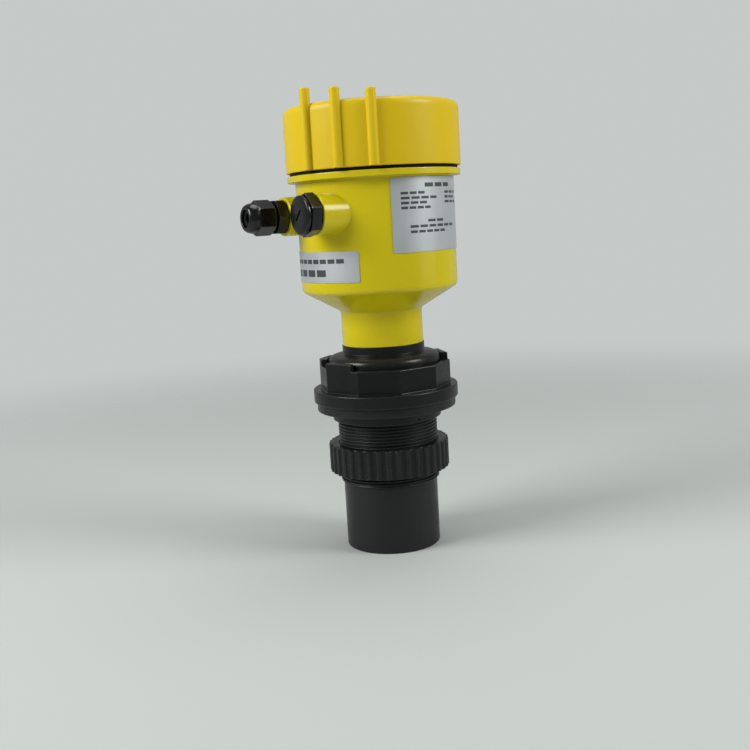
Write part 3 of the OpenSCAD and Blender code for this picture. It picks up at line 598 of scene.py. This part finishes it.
# %% Neck adapter
NECK_LOW, SLEEVE_R, GROOVE_R = 123.2, 20.1, 17.7
adapter_outline = rounded([
    (12, SEAT), (33.5, SEAT), (33.5, 116.3), (24.6, 118.4), (24.6, NECK_LOW), (SLEEVE_R, NECK_LOW),
    (SLEEVE_R, 129.1), (GROOVE_R, 129.1), (GROOVE_R, 132.3), (SLEEVE_R, 132.3), (SLEEVE_R, 138.2),
    (12, 138.2)],
    [0.3, 0.4, 3.4, 0.4, 0.3, 0.1, 0.1, 0.1, 0.1, 0.1, 0.8, 0.3], steps=8)
adapter = make_piece("neck_domed", [(turned(around(160), adapter_outline), True)])
stand_for(adapter, "neck_adapter", fitting_black)

# %% [markdown]
# ## The housing
#
# Neck, cone, body, rim and the two entry bosses came out of one mould. The shell is turned as
# before, with a coarse thread where the lid screws on: the outline's few points there give way to
# close rows.

# %% Housing shell
BODY_R, RIM_R, RIM_LOW, RIM_TOP = 46.2, 50.6, 219.6, 223.2
RING_R, RING_LOW, RING_HIGH, RING_ROWS = 45.0, 224.2, 236.2, 60
LID_PITCH, LID_DEPTH = 4.0, 0.9
CONE_R, CONE_Z, WALL_R, WALL_Z = 20.2, 146.1, 42.6, 158.9
housing_outline = finer(rounded([
    (CONE_R, NECK_LOW), (24.2, NECK_LOW), (24.2, 143.6), (BODY_R, 156.4), (BODY_R, RIM_LOW),
    (RIM_R, RIM_LOW), (RIM_R, RIM_TOP), (RING_R, RIM_TOP), (RING_R, 237.2), (42.0, 237.2),
    (42.0, RIM_TOP), (WALL_R, RIM_LOW), (WALL_R, WALL_Z), (CONE_R, CONE_Z)],
    [0.3, 0.4, 1.6, 2.2, 0.6, 0.55, 0.5, 0.3, 0.7, 0.3, 0.3, 0.3, 1.5, 1.5], steps=8), 2.0)
r, z = housing_outline.T
few = np.flatnonzero((np.abs(r - RING_R) < 0.01) & (z > RING_LOW) & (z < RING_HIGH))
close = np.stack([np.full(RING_ROWS, RING_R), np.linspace(RING_LOW, RING_HIGH, RING_ROWS)], -1)
housing_outline = np.concatenate([housing_outline[:few[0]], close, housing_outline[few[-1] + 1:]])

turns = around(192)
shell_grid = turned(turns, housing_outline)
r, z = housing_outline.T
run_out = fade(z, 224.6, 226.2) * (1 - fade(z, 234.6, 236.2)) * (np.abs(r - RING_R) < 0.01)
dip = thread_dip(turns[:, None], z, LID_PITCH, LID_DEPTH) * run_out
shell_grid[..., :2] *= (1 - dip / r)[..., None]
print("housing shell grid", shell_grid.shape)

# %% [markdown]
# A boss runs into the round wall with a hollow rounding: its foot lies on the body, at the depth
# x = -sqrt(R^2 - y^2), and swells as it gets there. Its bore goes on through the wall, where a
# rod is taken out of the shell with a Boolean, because the hole follows neither direction of the
# grid.

# %% Entry bosses and bores
ENTRY_Z, ENTRY_Y, BOSS_END, BOSS_R = 200.9, 19.2, 51.5, 11.2
BOSS_STEPS, FOOT_R, FOOT_SUNK = 96, 0.4, 0.12
GLAND, PLUG = 1, -1
BORES = {GLAND: 6.31, PLUG: 8.06}
BORE_DEPTH, ROD_FROM, ROD_TO = 1.8, -21.5, -3.5


def at_entry(side, grid):
    """Lays a piece that was turned about Z on an entry: Z points out of the boss, along -X, and
    starts at its end; X points up."""
    x, y, z = np.moveaxis(grid, -1, 0)
    return np.stack([-BOSS_END - z, side * ENTRY_Y + y, ENTRY_Z + x], -1)


def entry_boss(side, bore):
    """A boss as a grid: a goes round it, and the outline runs from the foot to the end and back
    down the bore. On the foot the distance from the axis is R + f (1 - sin q) and the height above
    the wall is f (1 - cos q), for q from 0 to a right angle."""
    a = around(BOSS_STEPS)[:, None]
    q = np.linspace(0, np.pi / 2, 9)
    foot_r, foot_h = BOSS_R + FOOT_R * (1 - np.sin(q)), FOOT_R * (1 - np.cos(q)) - FOOT_SUNK
    foot_x = np.sqrt(BODY_R**2 - (side * ENTRY_Y + foot_r * np.sin(a)) ** 2) + foot_h
    corners = [(BOSS_R, 50.0), (BOSS_R, BOSS_END), (bore, BOSS_END), (bore, 47.0)]
    end = rounded(corners, [0, 0.7, 0.3, 0], ring=False)
    share = np.linspace(0, 1, 7)[1:-1]
    side_x = foot_x[:, -1:] + (end[0, 1] - foot_x[:, -1:]) * share
    end_x = np.broadcast_to(end[:, 1], (BOSS_STEPS, len(end)))
    wall_x = np.sqrt((BODY_R - BORE_DEPTH) ** 2 - (side * ENTRY_Y + bore * np.sin(a)) ** 2)
    reach = np.concatenate([foot_x, side_x, end_x, wall_x], 1)
    radius = np.concatenate([foot_r, np.full(len(share), BOSS_R), end[:, 0], [bore]])
    return np.stack([-reach, side * ENTRY_Y + radius * np.sin(a), ENTRY_Z + radius * np.cos(a)], -1)


def bore_rod(side, bore):
    """A plain rod through the wall behind a boss, closed at both ends."""
    outline = np.array([(0, ROD_FROM), (bore, ROD_FROM), (bore, ROD_TO), (0, ROD_TO)])
    return at_entry(side, turned(around(64), outline))


def cut_away(obj, cutters):
    """Takes the cutters out of a piece with Boolean modifiers, applied at once."""
    for cutter in cutters:
        cut = obj.modifiers.new(cutter.name, "BOOLEAN")
        cut.object, cut.operation, cut.solver = cutter, "DIFFERENCE", "EXACT"
    bpy.context.view_layer.update()
    rest = bpy.data.meshes.new_from_object(obj.evaluated_get(bpy.context.evaluated_depsgraph_get()))
    obj.modifiers.clear()
    obj.data, rest.name = rest, obj.name
    shade(rest, SHARP_ANGLE)
    for cutter in cutters:
        bpy.data.objects.remove(cutter)


housing = make_piece("housing_moulded", [(shell_grid, True)])
cut_away(housing, [
    make_piece("bore_rod", [(bore_rod(side, bore + 0.01), False)]) for side, bore in BORES.items()])
bosses = [(entry_boss(side, bore), True) for side, bore in BORES.items()]
print("housing with bores:", len(housing.data.polygons), "faces")

# %% [markdown]
# Inside, four posts stand on the cone and carry the main board. A post is a turned tube whose
# lower end is pulled down to the slope, so that no gap is left.

# %% Board posts and the whole housing
POST_CIRCLE, POST_LOW, POST_TOP, POST_SUNK = 33.8, 160, 170.0, 1.0
CONE_SLOPE = (WALL_Z - CONE_Z) / (WALL_R - CONE_R)


def board_post(turn):
    """A tube whose foot follows the cone's inside, which rises by CONE_SLOPE from the neck, and
    is sunk 1 mm into it."""
    corners = [(1.6, POST_LOW), (4, POST_LOW), (4, POST_TOP), (1.6, POST_TOP)]
    post = turned(around(32), finer(rounded(corners, [0.1, 0.1, 0.4, 0.2]), 3.0))
    post = post + np.array([POST_CIRCLE * np.cos(turn), POST_CIRCLE * np.sin(turn), 0])
    foot = CONE_Z - POST_SUNK + (np.hypot(post[..., 0], post[..., 1]) - CONE_R) * CONE_SLOPE
    share = (post[..., 2] - POST_LOW) / (POST_TOP - POST_LOW)
    post[..., 2] = foot + (POST_TOP - foot) * share
    return post


posts = [(board_post(k * np.pi / 2), True) for k in range(4)]
knobs = make_piece("bosses_and_posts", bosses + posts)
whole = bmesh.new()
whole.from_mesh(housing.data)
whole.from_mesh(knobs.data)
whole.to_mesh(housing.data)
whole.free()
bpy.data.objects.remove(knobs)
stand_for(housing, "housing_body", housing_yellow)

# %% [markdown]
# ## The lid and its seal
#
# The lid is a deep cap with a round upper edge. Round rods stand out of its side as grips and
# rise past its top, three on each side, each a little lower than the last. A dark flat seal lies
# between the lid and the rim, a little behind their edges.

# %% Lid
LID_LOW, LID_TOP, LID_R, LID_BORE, LID_ROOF = 225.0, 261.2, 51.0, 46.2, 257.6
ROD_R, ROD_TURN, ROD_PITCH, ROD_RISE, ROD_STEP = 2.9, -143.5, 22.2, 4.5, 1.7
lid_outline = finer(rounded([
    (0, LID_ROOF), (LID_BORE, LID_ROOF), (LID_BORE, LID_LOW), (LID_R, LID_LOW),
    (LID_R - 0.1, LID_TOP), (0, LID_TOP)],
    [0, 2.0, 0.5, 0.7, 4.6, 0], ring=False, steps=10), 3.0, ring=False)


def grip_rod(half, i):
    """A round rod on the lid's side: an outline with a softened top, turned about its own axis.
    The rods of a half are counted by i from -1 to 1, and each is lower than the last."""
    turn = np.radians(ROD_TURN + half + i * ROD_PITCH)
    low, top = LID_LOW + 0.05, LID_TOP + ROD_RISE + (1 - i) * ROD_STEP
    corners = [(0, low), (ROD_R, low), (ROD_R, top), (0, top)]
    outline = rounded(corners, [0, 0.5, 1.0, 0], ring=False, steps=6)
    rod = turned(around(40), finer(outline, 3.0, ring=False))
    return rod + np.array([LID_R * np.cos(turn), LID_R * np.sin(turn), 0])


rods = [(grip_rod(half, i), False) for half in (0, 180) for i in (-1, 0, 1)]
lid = make_piece("lid_ribbed", [(turned(around(192), lid_outline), False)] + rods)
stand_for(lid, "lid", lid_yellow)


def flat_seal(bore, size, low, high, inner, outer):
    """The outline of a flat ring between two radii, with its inner and outer edges rounded."""
    corners = [(bore, low), (size, low), (size, high), (bore, high)]
    return rounded(corners, [inner, outer, outer, inner])


seal_outline = flat_seal(45.4, 49.0, RIM_TOP, LID_LOW, 0.3, 0.6)
seal = make_piece("lid_seal_ring", [(turned(around(160), seal_outline), True)])
stand_for(seal, "lid_seal", seal_rubber)

# %% [markdown]
# ## The cable gland
#
# The gland's body screws into its boss with a hexagon, and a dome nut on it squeezes a rubber
# sleeve round the cable. A hexagon is the many-sided radius again, with six sides; its ends are
# turned off to a cone, by taking the smaller of the flat's and the cone's radius.

# %% Helpers for the entries
HEX_SOFT, CHAMFER_R, CHAMFER_Z = 0.5, 0.9, 0.54
HEX_STEPS = np.array([7.5, 15, 22, 26.5, 28.4, 29.1, 29.6])


def hex_ends(u, flats, low, high, turn):
    """Corners of a hexagon's side from below: cone, side, side, cone. A cone starts 0.9 inside
    the corner circle and reaches it 0.54 further on."""
    side = many_sided(u, flats / 2, 6, HEX_SOFT, turn)
    cone = np.minimum(side, flats / 2 / np.cos(np.pi / 6) - CHAMFER_R)
    return [(cone, low), (side, low + CHAMFER_Z), (side, high - CHAMFER_Z), (cone, high)]


def entry_piece(name, side, angles, outline, ring=True):
    """A turned piece, laid on an entry."""
    return make_piece(name, [(at_entry(side, turned(angles, outline)), ring)])


print("steps round a hexagon:", len(steps_round(0.0, 6, HEX_STEPS)))

# %% [markdown]
# Heights are counted from the boss's end: what lies below 0 sits in the bore.

# %% Gland pieces
HEX_LOW, HEX_HIGH = 1.0, 7.0
BODY_TURN = np.radians(30)
u = steps_round(BODY_TURN, 6, HEX_STEPS)
gland_corners = corner_rows(u, [
    (3.4, -9), (6.25, -9), (6.25, HEX_LOW), *hex_ends(u, 18.8, HEX_LOW, HEX_HIGH, BODY_TURN),
    (6.4, HEX_HIGH), (6.4, 17.1), (5.2, 17.1), (5.2, HEX_HIGH), (3.4, HEX_HIGH)])
gland_cuts = [0.2, 0.5, 0.05, 0.1, 0.25, 0.25, 0.1, 0.1, 0.4, 0.2, 0.1, 0.1]
gland = entry_piece("gland_hexagon", GLAND, u, rounded(gland_corners, gland_cuts))
stand_for(gland, "gland_body", gland_black)

u = steps_round(0.0, 6, HEX_STEPS)
bend = np.radians(np.linspace(0, 90, 9)[:-1])
dome_curve = list(zip(6.3 + 2.4 * np.cos(bend), 18.6 + 5.5 * np.sin(bend)))
nut_corners = corner_rows(u, [
    (6.8, 8.3), *hex_ends(u, 17.8, 8.3, 18.6, 0.0), *dome_curve,
    (6.3, 24.1), (5.2, 24.1), (5.2, 17.6), (6.8, 17.6)])
nut_cuts = [0.2, 0.1, 0.25, 0.25, 0.15] + [0.2] * len(dome_curve) + [0.4, 0.5, 0.2, 0.1]
dome_nut = entry_piece("gland_dome", GLAND, u, rounded(nut_corners, nut_cuts, steps=3))
stand_for(dome_nut, "gland_dome_nut", gland_black)

sleeve_outline = rounded([(3, 7), (4.8, 7), (4.8, 22.5), (3, 22.5)], [0.2, 0.3, 0.9, 0.6])
sleeve = entry_piece("gland_sleeve", GLAND, around(64), sleeve_outline)
stand_for(sleeve, "gland_seal", seal_rubber)
washer_outline = flat_seal(6.35, 8.8, 0, HEX_LOW, 0.1, 0.3)
washer = entry_piece("gland_flat_seal", GLAND, around(64), washer_outline)
stand_for(washer, "gland_washer", seal_rubber)

# %% [markdown]
# ## The blanking plug
#
# The second entry is closed by a plug with a hexagon, a groove and a round crowned head with a
# slot for a screwdriver. The slot doesn't follow the axis, so it is cut with a Boolean as the
# bores were.

# %% Blanking plug
PLUG_TURN, SLOT_TURN = np.radians(-12), np.radians(-45)
HEAD_R, HEAD_TOP, GROOVE = 10.8, 10.2, 9.5
SLOT_LENGTH, SLOT_WIDTH, SLOT_DEPTH, SLOT_STEPS = 8.5, 1.5, 1.4, 48
u = steps_round(PLUG_TURN, 6, HEX_STEPS)
plug_corners = corner_rows(u, [
    (0, -9), (8, -9), (8, HEX_LOW), *hex_ends(u, 21.4, HEX_LOW, HEX_HIGH, PLUG_TURN),
    (GROOVE, HEX_HIGH), (GROOVE, 7.8), (HEAD_R, 7.8), (HEAD_R, 9.0), (10.4, 9.54), (7.56, 10.02),
    (0, HEAD_TOP)])
plug_cuts = [0, 0.8, 0.05, 0.1, 0.25, 0.25, 0.1, 0.1, 0.1, 0.4, 0.3, 0.5, 2.0, 0]
plug_outline = rounded(plug_corners, plug_cuts, ring=False)
plug = entry_piece("plug_slotted", PLUG, u, plug_outline, ring=False)


def slot_cutter():
    """A flat bar with round ends: a stadium is turned by the slot's angle, and its points run
    from the middle of the floor out, up and back to the middle."""
    a = around(SLOT_STEPS)
    half = SLOT_WIDTH / 2
    x = half * np.cos(a) + np.sign(np.cos(a)) * (SLOT_LENGTH / 2 - half)
    spin, lean = np.cos(SLOT_TURN), np.sin(SLOT_TURN)
    stadium = np.stack([x, half * np.sin(a)], -1) @ np.array([[spin, lean], [-lean, spin]])
    share = np.array([0.0, 1.0, 1.0, 0.0])
    floor, roof = HEAD_TOP - SLOT_DEPTH, HEAD_TOP + 2
    z = np.broadcast_to([floor, floor, roof, roof], (SLOT_STEPS, len(share)))
    return np.stack([stadium[:, :1] * share, stadium[:, 1:] * share, z], -1)


cut_away(plug, [make_piece("slot_cutter", [(at_entry(PLUG, slot_cutter()), False)])])
stand_for(plug, "blanking_plug", gland_black)
washer = entry_piece("plug_flat_seal", PLUG, around(64), flat_seal(8.4, 10.1, 0, HEX_LOW, 0.1, 0.3))
stand_for(washer, "plug_washer", seal_rubber)

# %% [markdown]
# ## The labels' finish
#
# Two silver film labels are stuck round the body, with rows of plain grey bars. A picture could
# hold the bars, but a few comparisons on the sheet's own UV map draw them crisp at any size: a
# point is in a row if it lies between the row's four limits, and in a bar if it isn't in the gap
# after one.

# %% Rows of bars
BAR_SHARE = 0.82
LIMITS = ("Left", "Right", "Low", "High", "Bars")
row_sockets = [("UV", VECTOR)] + [(label, NUMBER) for label in LIMITS]
grey_row, gin, gout = new_group("grey_row", row_sockets, ["Mask"])
chart = add(grey_row, "ShaderNodeSeparateXYZ", [(0, gin.outputs["UV"])])
across, up = chart.outputs[0], chart.outputs[1]
bar = math(grey_row, "SUBTRACT", across, gin.outputs["Left"])
bar = math(grey_row, "MULTIPLY", bar, gin.outputs["Bars"])
mask = math(grey_row, "LESS_THAN", math(grey_row, "FRACT", bar), BAR_SHARE)
for socket, limit, test in (
        (across, "Left", "GREATER_THAN"), (across, "Right", "LESS_THAN"),
        (up, "Low", "GREATER_THAN"), (up, "High", "LESS_THAN")):
    within = math(grey_row, test, socket, gin.outputs[limit])
    mask = math(grey_row, "MULTIPLY", mask, within)
feed(grey_row, gout, [("Mask", mask)])
print("made the group", grey_row.name)

# %% [markdown]
# The film is the shared recipe with half a metal's sheen, and the bars are mixed over its colour.

# %% Label finish
BAR_GREY = (0.075, 0.08, 0.085)


def label_film(name, rows):
    """Silver film with rows of grey bars. A row is left, right, low, high and bars across the
    sheet, and ends with its last whole bar. The largest of the rows' masks mixes in the grey."""
    material = moulded(
        name, (0.46, 0.49, 0.50), (0.53, 0.56, 0.57), (0.62, 0.64, 0.66), (0.36, 0.48),
        bump=0.04, metal=0.55, reach=0.2)
    tree = material.node_tree
    colour = tree.nodes["Principled BSDF"].inputs["Base Color"]
    silver = colour.links[0].from_socket
    chart = add(tree, "ShaderNodeUVMap", uv_map="sheet").outputs[0]
    mask = 0.0
    for left, right, low, high, bars in rows:
        end = left + round((right - left) * bars) / bars
        limits = enumerate([chart, left, end, low, high, bars])
        row = add(tree, "ShaderNodeGroup", limits, node_tree=grey_row)
        mask = math(tree, "MAXIMUM", mask, row.outputs["Mask"])
    tree.links.new(mix(tree, mask, silver, BAR_GREY), colour)
    return material


rating_film = label_film("rating_film", [
    (0.30, 0.66, 0.86, 0.915, 9.0),
    (0.08, 0.33, 0.770, 0.805, 13.0), (0.08, 0.40, 0.705, 0.740, 11.0),
    (0.08, 0.30, 0.640, 0.675, 12.0), (0.08, 0.36, 0.575, 0.610, 14.0),
    (0.54, 0.78, 0.770, 0.805, 12.0), (0.54, 0.74, 0.705, 0.740, 14.0),
    (0.54, 0.80, 0.640, 0.675, 11.0), (0.32, 0.56, 0.395, 0.430, 10.0),
    (0.15, 0.66, 0.325, 0.360, 11.0), (0.15, 0.50, 0.255, 0.290, 13.0)])
notice_film = label_film("notice_film", [
    (0.06, 0.91, 0.62, 0.76, 12.0), (0.10, 0.78, 0.20, 0.42, 8.0)])
print("label finishes:", rating_film.name, notice_film.name)

# %% [markdown]
# ## The label sheets
#
# Each label is a sheet bent to the body's radius, with round corners. A flat plane with a bend
# modifier would do as well, but here the bend is only an angle, the width over the radius.

# %% Label sheets
LABEL_CORNER, LABEL_GAP, LABEL_THICK, LABEL_STEPS = 1.2, 0.05, 0.3, 61


def label_sheet(name, mid, width, low, high):
    """A sheet bent round the body: for s from -1 to 1 the angle is mid + s w(z) / R, where w is
    half the width, less the corner's circle near the top and the bottom. Its front and back are one
    grid on two radii, joined by a strip round the rim."""
    curve = LABEL_CORNER * (1 - np.cos(np.linspace(0, np.pi / 2, 7)))
    straight = np.linspace(low + LABEL_CORNER, high - LABEL_CORNER, 14)[1:-1]
    rise = np.concatenate([low + curve, straight, high - curve[::-1]])
    near = np.maximum(low + LABEL_CORNER - rise, rise - high + LABEL_CORNER)
    near = np.clip(near, 0, LABEL_CORNER)
    half = width / 2 - LABEL_CORNER + np.sqrt(np.maximum(LABEL_CORNER**2 - near**2, 0))
    s = np.linspace(-1, 1, LABEL_STEPS)[:, None]
    inner = BODY_R + LABEL_GAP
    turn = np.radians(mid) + s * half / inner
    z = np.broadcast_to(rise, turn.shape)
    points = [(k * np.cos(turn), k * np.sin(turn), z) for k in (inner + LABEL_THICK, inner)]
    points = np.concatenate([np.stack(wall, -1).reshape(-1, 3) for wall in points])

    grid = np.arange(turn.size).reshape(turn.shape)
    front = [grid[:-1, :-1], grid[1:, :-1], grid[1:, 1:], grid[:-1, 1:]]
    front = np.stack(front, -1).reshape(-1, 4)
    rim = np.concatenate([grid[:, 0], grid[-1, 1:], grid[-2::-1, -1], grid[0, -2:0:-1]])
    following = np.roll(rim, -1)
    strip = np.stack([rim + turn.size, following + turn.size, following, rim], -1)
    obj = new_object(name, points, np.concatenate([front, front[:, ::-1] + turn.size, strip]))

    flat = np.stack([s * half / width + 0.5, (z - low) / (high - low)], -1).reshape(-1, 2)
    corners = np.empty(len(obj.data.loops), int)
    obj.data.loops.foreach_get("vertex_index", corners)
    chart = obj.data.uv_layers.new(name="sheet")
    chart.data.foreach_set("uv", np.tile(flat, (2, 1))[corners].astype(np.float32).ravel())
    shade(obj.data, 40)
    return obj


rating = label_sheet("rating_sheet", -68.4, 69.5, 177.4, 218.4)
stand_for(rating, "rating_label", rating_film)
notice = label_sheet("notice_sheet", 180.0, 72.0, 162.7, 180.1)
stand_for(notice, "notice_label", notice_film)

# %% [markdown]
# ## What is inside
#
# The transducer, the boards, the display with its keys and the terminals are closed in, so their
# CAD solids stay as they are. Each still gets a finish, because a part may be shown opened.

# %% Finishes for the inner pieces
def plain(name, colour, rough=(0.4, 0.6), metal=0.0):
    """A quiet finish: the colour and a slightly paler one, with the shared skin."""
    paler = tuple(min(1.0, c * 1.15 + 0.004) for c in colour)
    return moulded(name, colour, paler, paler, rough, metal=metal, reach=0.0, cloud=60.0)


inner = {
    plain("face_grey", (0.05, 0.052, 0.055)): ["face_disc"],
    plain("ceramic", (0.58, 0.53, 0.39)): ["piezo_disc"],
    plain("filled_resin", (0.07, 0.05, 0.04), (0.5, 0.7)): ["backing_block", "potting"],
    plain("bead_black", (0.014, 0.015, 0.017)): [
        "temperature_sensor", "transducer_lead", "controller_chip", "key_switches"],
    plain("board_green", (0.014, 0.15, 0.045), (0.3, 0.5)): ["main_board", "display_board"],
    plain("brass", (0.49, 0.32, 0.08), (0.25, 0.4), 1.0): ["board_standoffs"],
    plain("steel", (0.40, 0.41, 0.42), (0.25, 0.4), 1.0): [
        "panel_screws", "display_screws", "terminal_screws"],
    plain("transformer_tape", (0.57, 0.45, 0.10)): ["drive_transformer"],
    plain("capacitor_blue", (0.022, 0.033, 0.085)): ["capacitors"],
    plain("socket_cream", (0.79, 0.75, 0.66)): ["lead_socket"],
    plain("socket_black", (0.010, 0.010, 0.011)): ["ribbon_sockets", "lcd_module"],
    plain("ribbon_grey", (0.26, 0.27, 0.30)): ["ribbon_cable"],
    plain("panel_grey", (0.043, 0.051, 0.064)): ["display_panel"],
    plain("key_grey", (0.107, 0.133, 0.162)): ["key_up", "key_down"],
    plain("key_red", (0.37, 0.043, 0.033)): ["key_set"],
    plain("terminal_green", (0.027, 0.26, 0.094)): ["terminal_block"],
    plain("display_film", (0.34, 0.43, 0.25), (0.08, 0.16)): ["lcd_glass"],
    seal_rubber: ["neck_o_ring"],
}
for finish, names in inner.items():
    for name in names:
        nodes[name].data.materials.clear()
        nodes[name].data.materials.append(finish)
print("inner finishes:", len(inner))

# %% [markdown]
# ## The floor
#
# The sensor stands on a pale grey sheet. A wall behind it would get in the way of other views, so
# the floor fades out with the distance. It is clear from below, to show the sounding face.

# %% Floor
scene.view_settings.view_transform = "Standard"
FLOOR_Z, FADE_START, FADE_END = -0.02, 0.26, 0.95
floor_r = np.concatenate([[0.0], np.geomspace(20, 4000, 40)])
floor_outline = np.stack([floor_r, np.full(len(floor_r), FLOOR_Z)], -1)[::-1]
floor = make_piece("floor", [(turned(around(96), floor_outline), False)])
paper = bpy.data.materials.new("pale_paper")
paper.use_nodes = True
tree = paper.node_tree
shader = tree.nodes["Principled BSDF"]
feed(tree, shader, [
    ("Base Color", (0.425, 0.45, 0.435, 1)), ("Roughness", 0.7), ("Specular IOR Level", 0.2)])
place = add(tree, "ShaderNodeTexCoord").outputs["Object"]
far = add(tree, "ShaderNodeVectorMath", [(0, place)], operation="LENGTH").outputs["Value"]
gone = ramp(tree, far, FADE_START, FADE_END, 0.0, 1.0, interpolation_type="SMOOTHSTEP")
under = add(tree, "ShaderNodeNewGeometry").outputs["Backfacing"]
open_way = math(tree, "MAXIMUM", gone, under)
clear = add(tree, "ShaderNodeBsdfTransparent")
faded = [(0, open_way), (1, shader.outputs[0]), (2, clear.outputs[0])]
both = add(tree, "ShaderNodeMixShader", faded).outputs[0]
tree.links.new(both, tree.nodes["Material Output"].inputs["Surface"])
floor.data.materials.append(paper)
print("floor of", len(floor.data.polygons), "faces")

# %% [markdown]
# ## The world
#
# What the camera sees past the floor is the floor's own grey. Glossy plastic mirrors that grey
# too, more of it from behind the sensor than from the dim room in front. Dull surfaces get
# another light: strong from below, as from a large sheet of paper, and weak from above, where the
# lamps are.

# %% World
PALE, DAYLIGHT = (0.56, 0.59, 0.58, 1), (0.95, 1.0, 0.99, 1)
PAPER_BOUNCE, ROOM_LIGHT = 1.0, 0.20
FRONT_MIRRORED, BACK_MIRRORED = 0.22, 0.62
world = bpy.data.worlds.new("studio")
world.use_nodes = True
scene.world = world
tree = world.node_tree
way = add(tree, "ShaderNodeTexCoord").outputs["Generated"]
rise = add(tree, "ShaderNodeSeparateXYZ", [(0, way)]).outputs[2]
bounce = ramp(tree, rise, -0.20, 0.05, PAPER_BOUNCE, ROOM_LIGHT)
lit = add(tree, "ShaderNodeBackground", [(0, DAYLIGHT), (1, bounce)]).outputs[0]
path = add(tree, "ShaderNodeLightPath").outputs
through = math(tree, "ADD", path["Is Camera Ray"], path["Is Transmission Ray"], clamp=True)
shown = math(tree, "ADD", through, path["Is Glossy Ray"], clamp=True)
back = about_z @ np.array([0.0, 1.0, 0.0])
behind = add(tree, "ShaderNodeVectorMath", [(0, way), (1, back)], operation="DOT_PRODUCT")
mirrored = ramp(tree, behind.outputs["Value"], 0.0, 0.8, FRONT_MIRRORED, BACK_MIRRORED)
strength = math(tree, "MAXIMUM", through, mirrored)
seen = tree.nodes["Background"]
feed(tree, seen, [(0, PALE), (1, strength)])
mixed = add(tree, "ShaderNodeMixShader", [(0, shown), (1, lit), (2, seen.outputs[0])]).outputs[0]
tree.links.new(mixed, tree.nodes["World Output"].inputs["Surface"])
print("world of", len(tree.nodes), "nodes")

# %% [markdown]
# ## The lamps
#
# Large lamps give broad highlights. The main one stands at the left. The one at the right makes
# the glint on the entry boss and the lid's edge, a faint one below it gives the label its sheen,
# and the one above softens the shadows.

# %% Lamps
MIDDLE = np.array([0, 0, 0.15])


def soft_lamp(name, place, size, watts):
    """A square lamp at a place given as right, back and up for the camera, in metres from the
    sensor's middle, and aimed at that middle."""
    lamp = bpy.data.lights.new(name, "AREA")
    lamp.shape, lamp.size, lamp.energy = "SQUARE", size, watts
    offset = about_z @ np.array(place, float)
    away = offset / np.linalg.norm(offset)
    side = np.cross([0, 0, 1], away)
    side = side / np.linalg.norm(side)
    axes = np.column_stack([side, np.cross(away, side), away])
    placed(name, lamp, axes, offset + MIDDLE)


soft_lamp("main_lamp", (-0.95, -0.40, 0.62), 0.6, 15)
soft_lamp("side_lamp", (0.86, -0.30, 0.57), 0.42, 7.5)
soft_lamp("low_lamp", (0.96, -0.27, 0.18), 0.5, 0.7)
soft_lamp("top_lamp", (0.10, 0.25, 1.30), 0.8, 7)
print("lamps:", [lamp.name for lamp in bpy.data.lights])
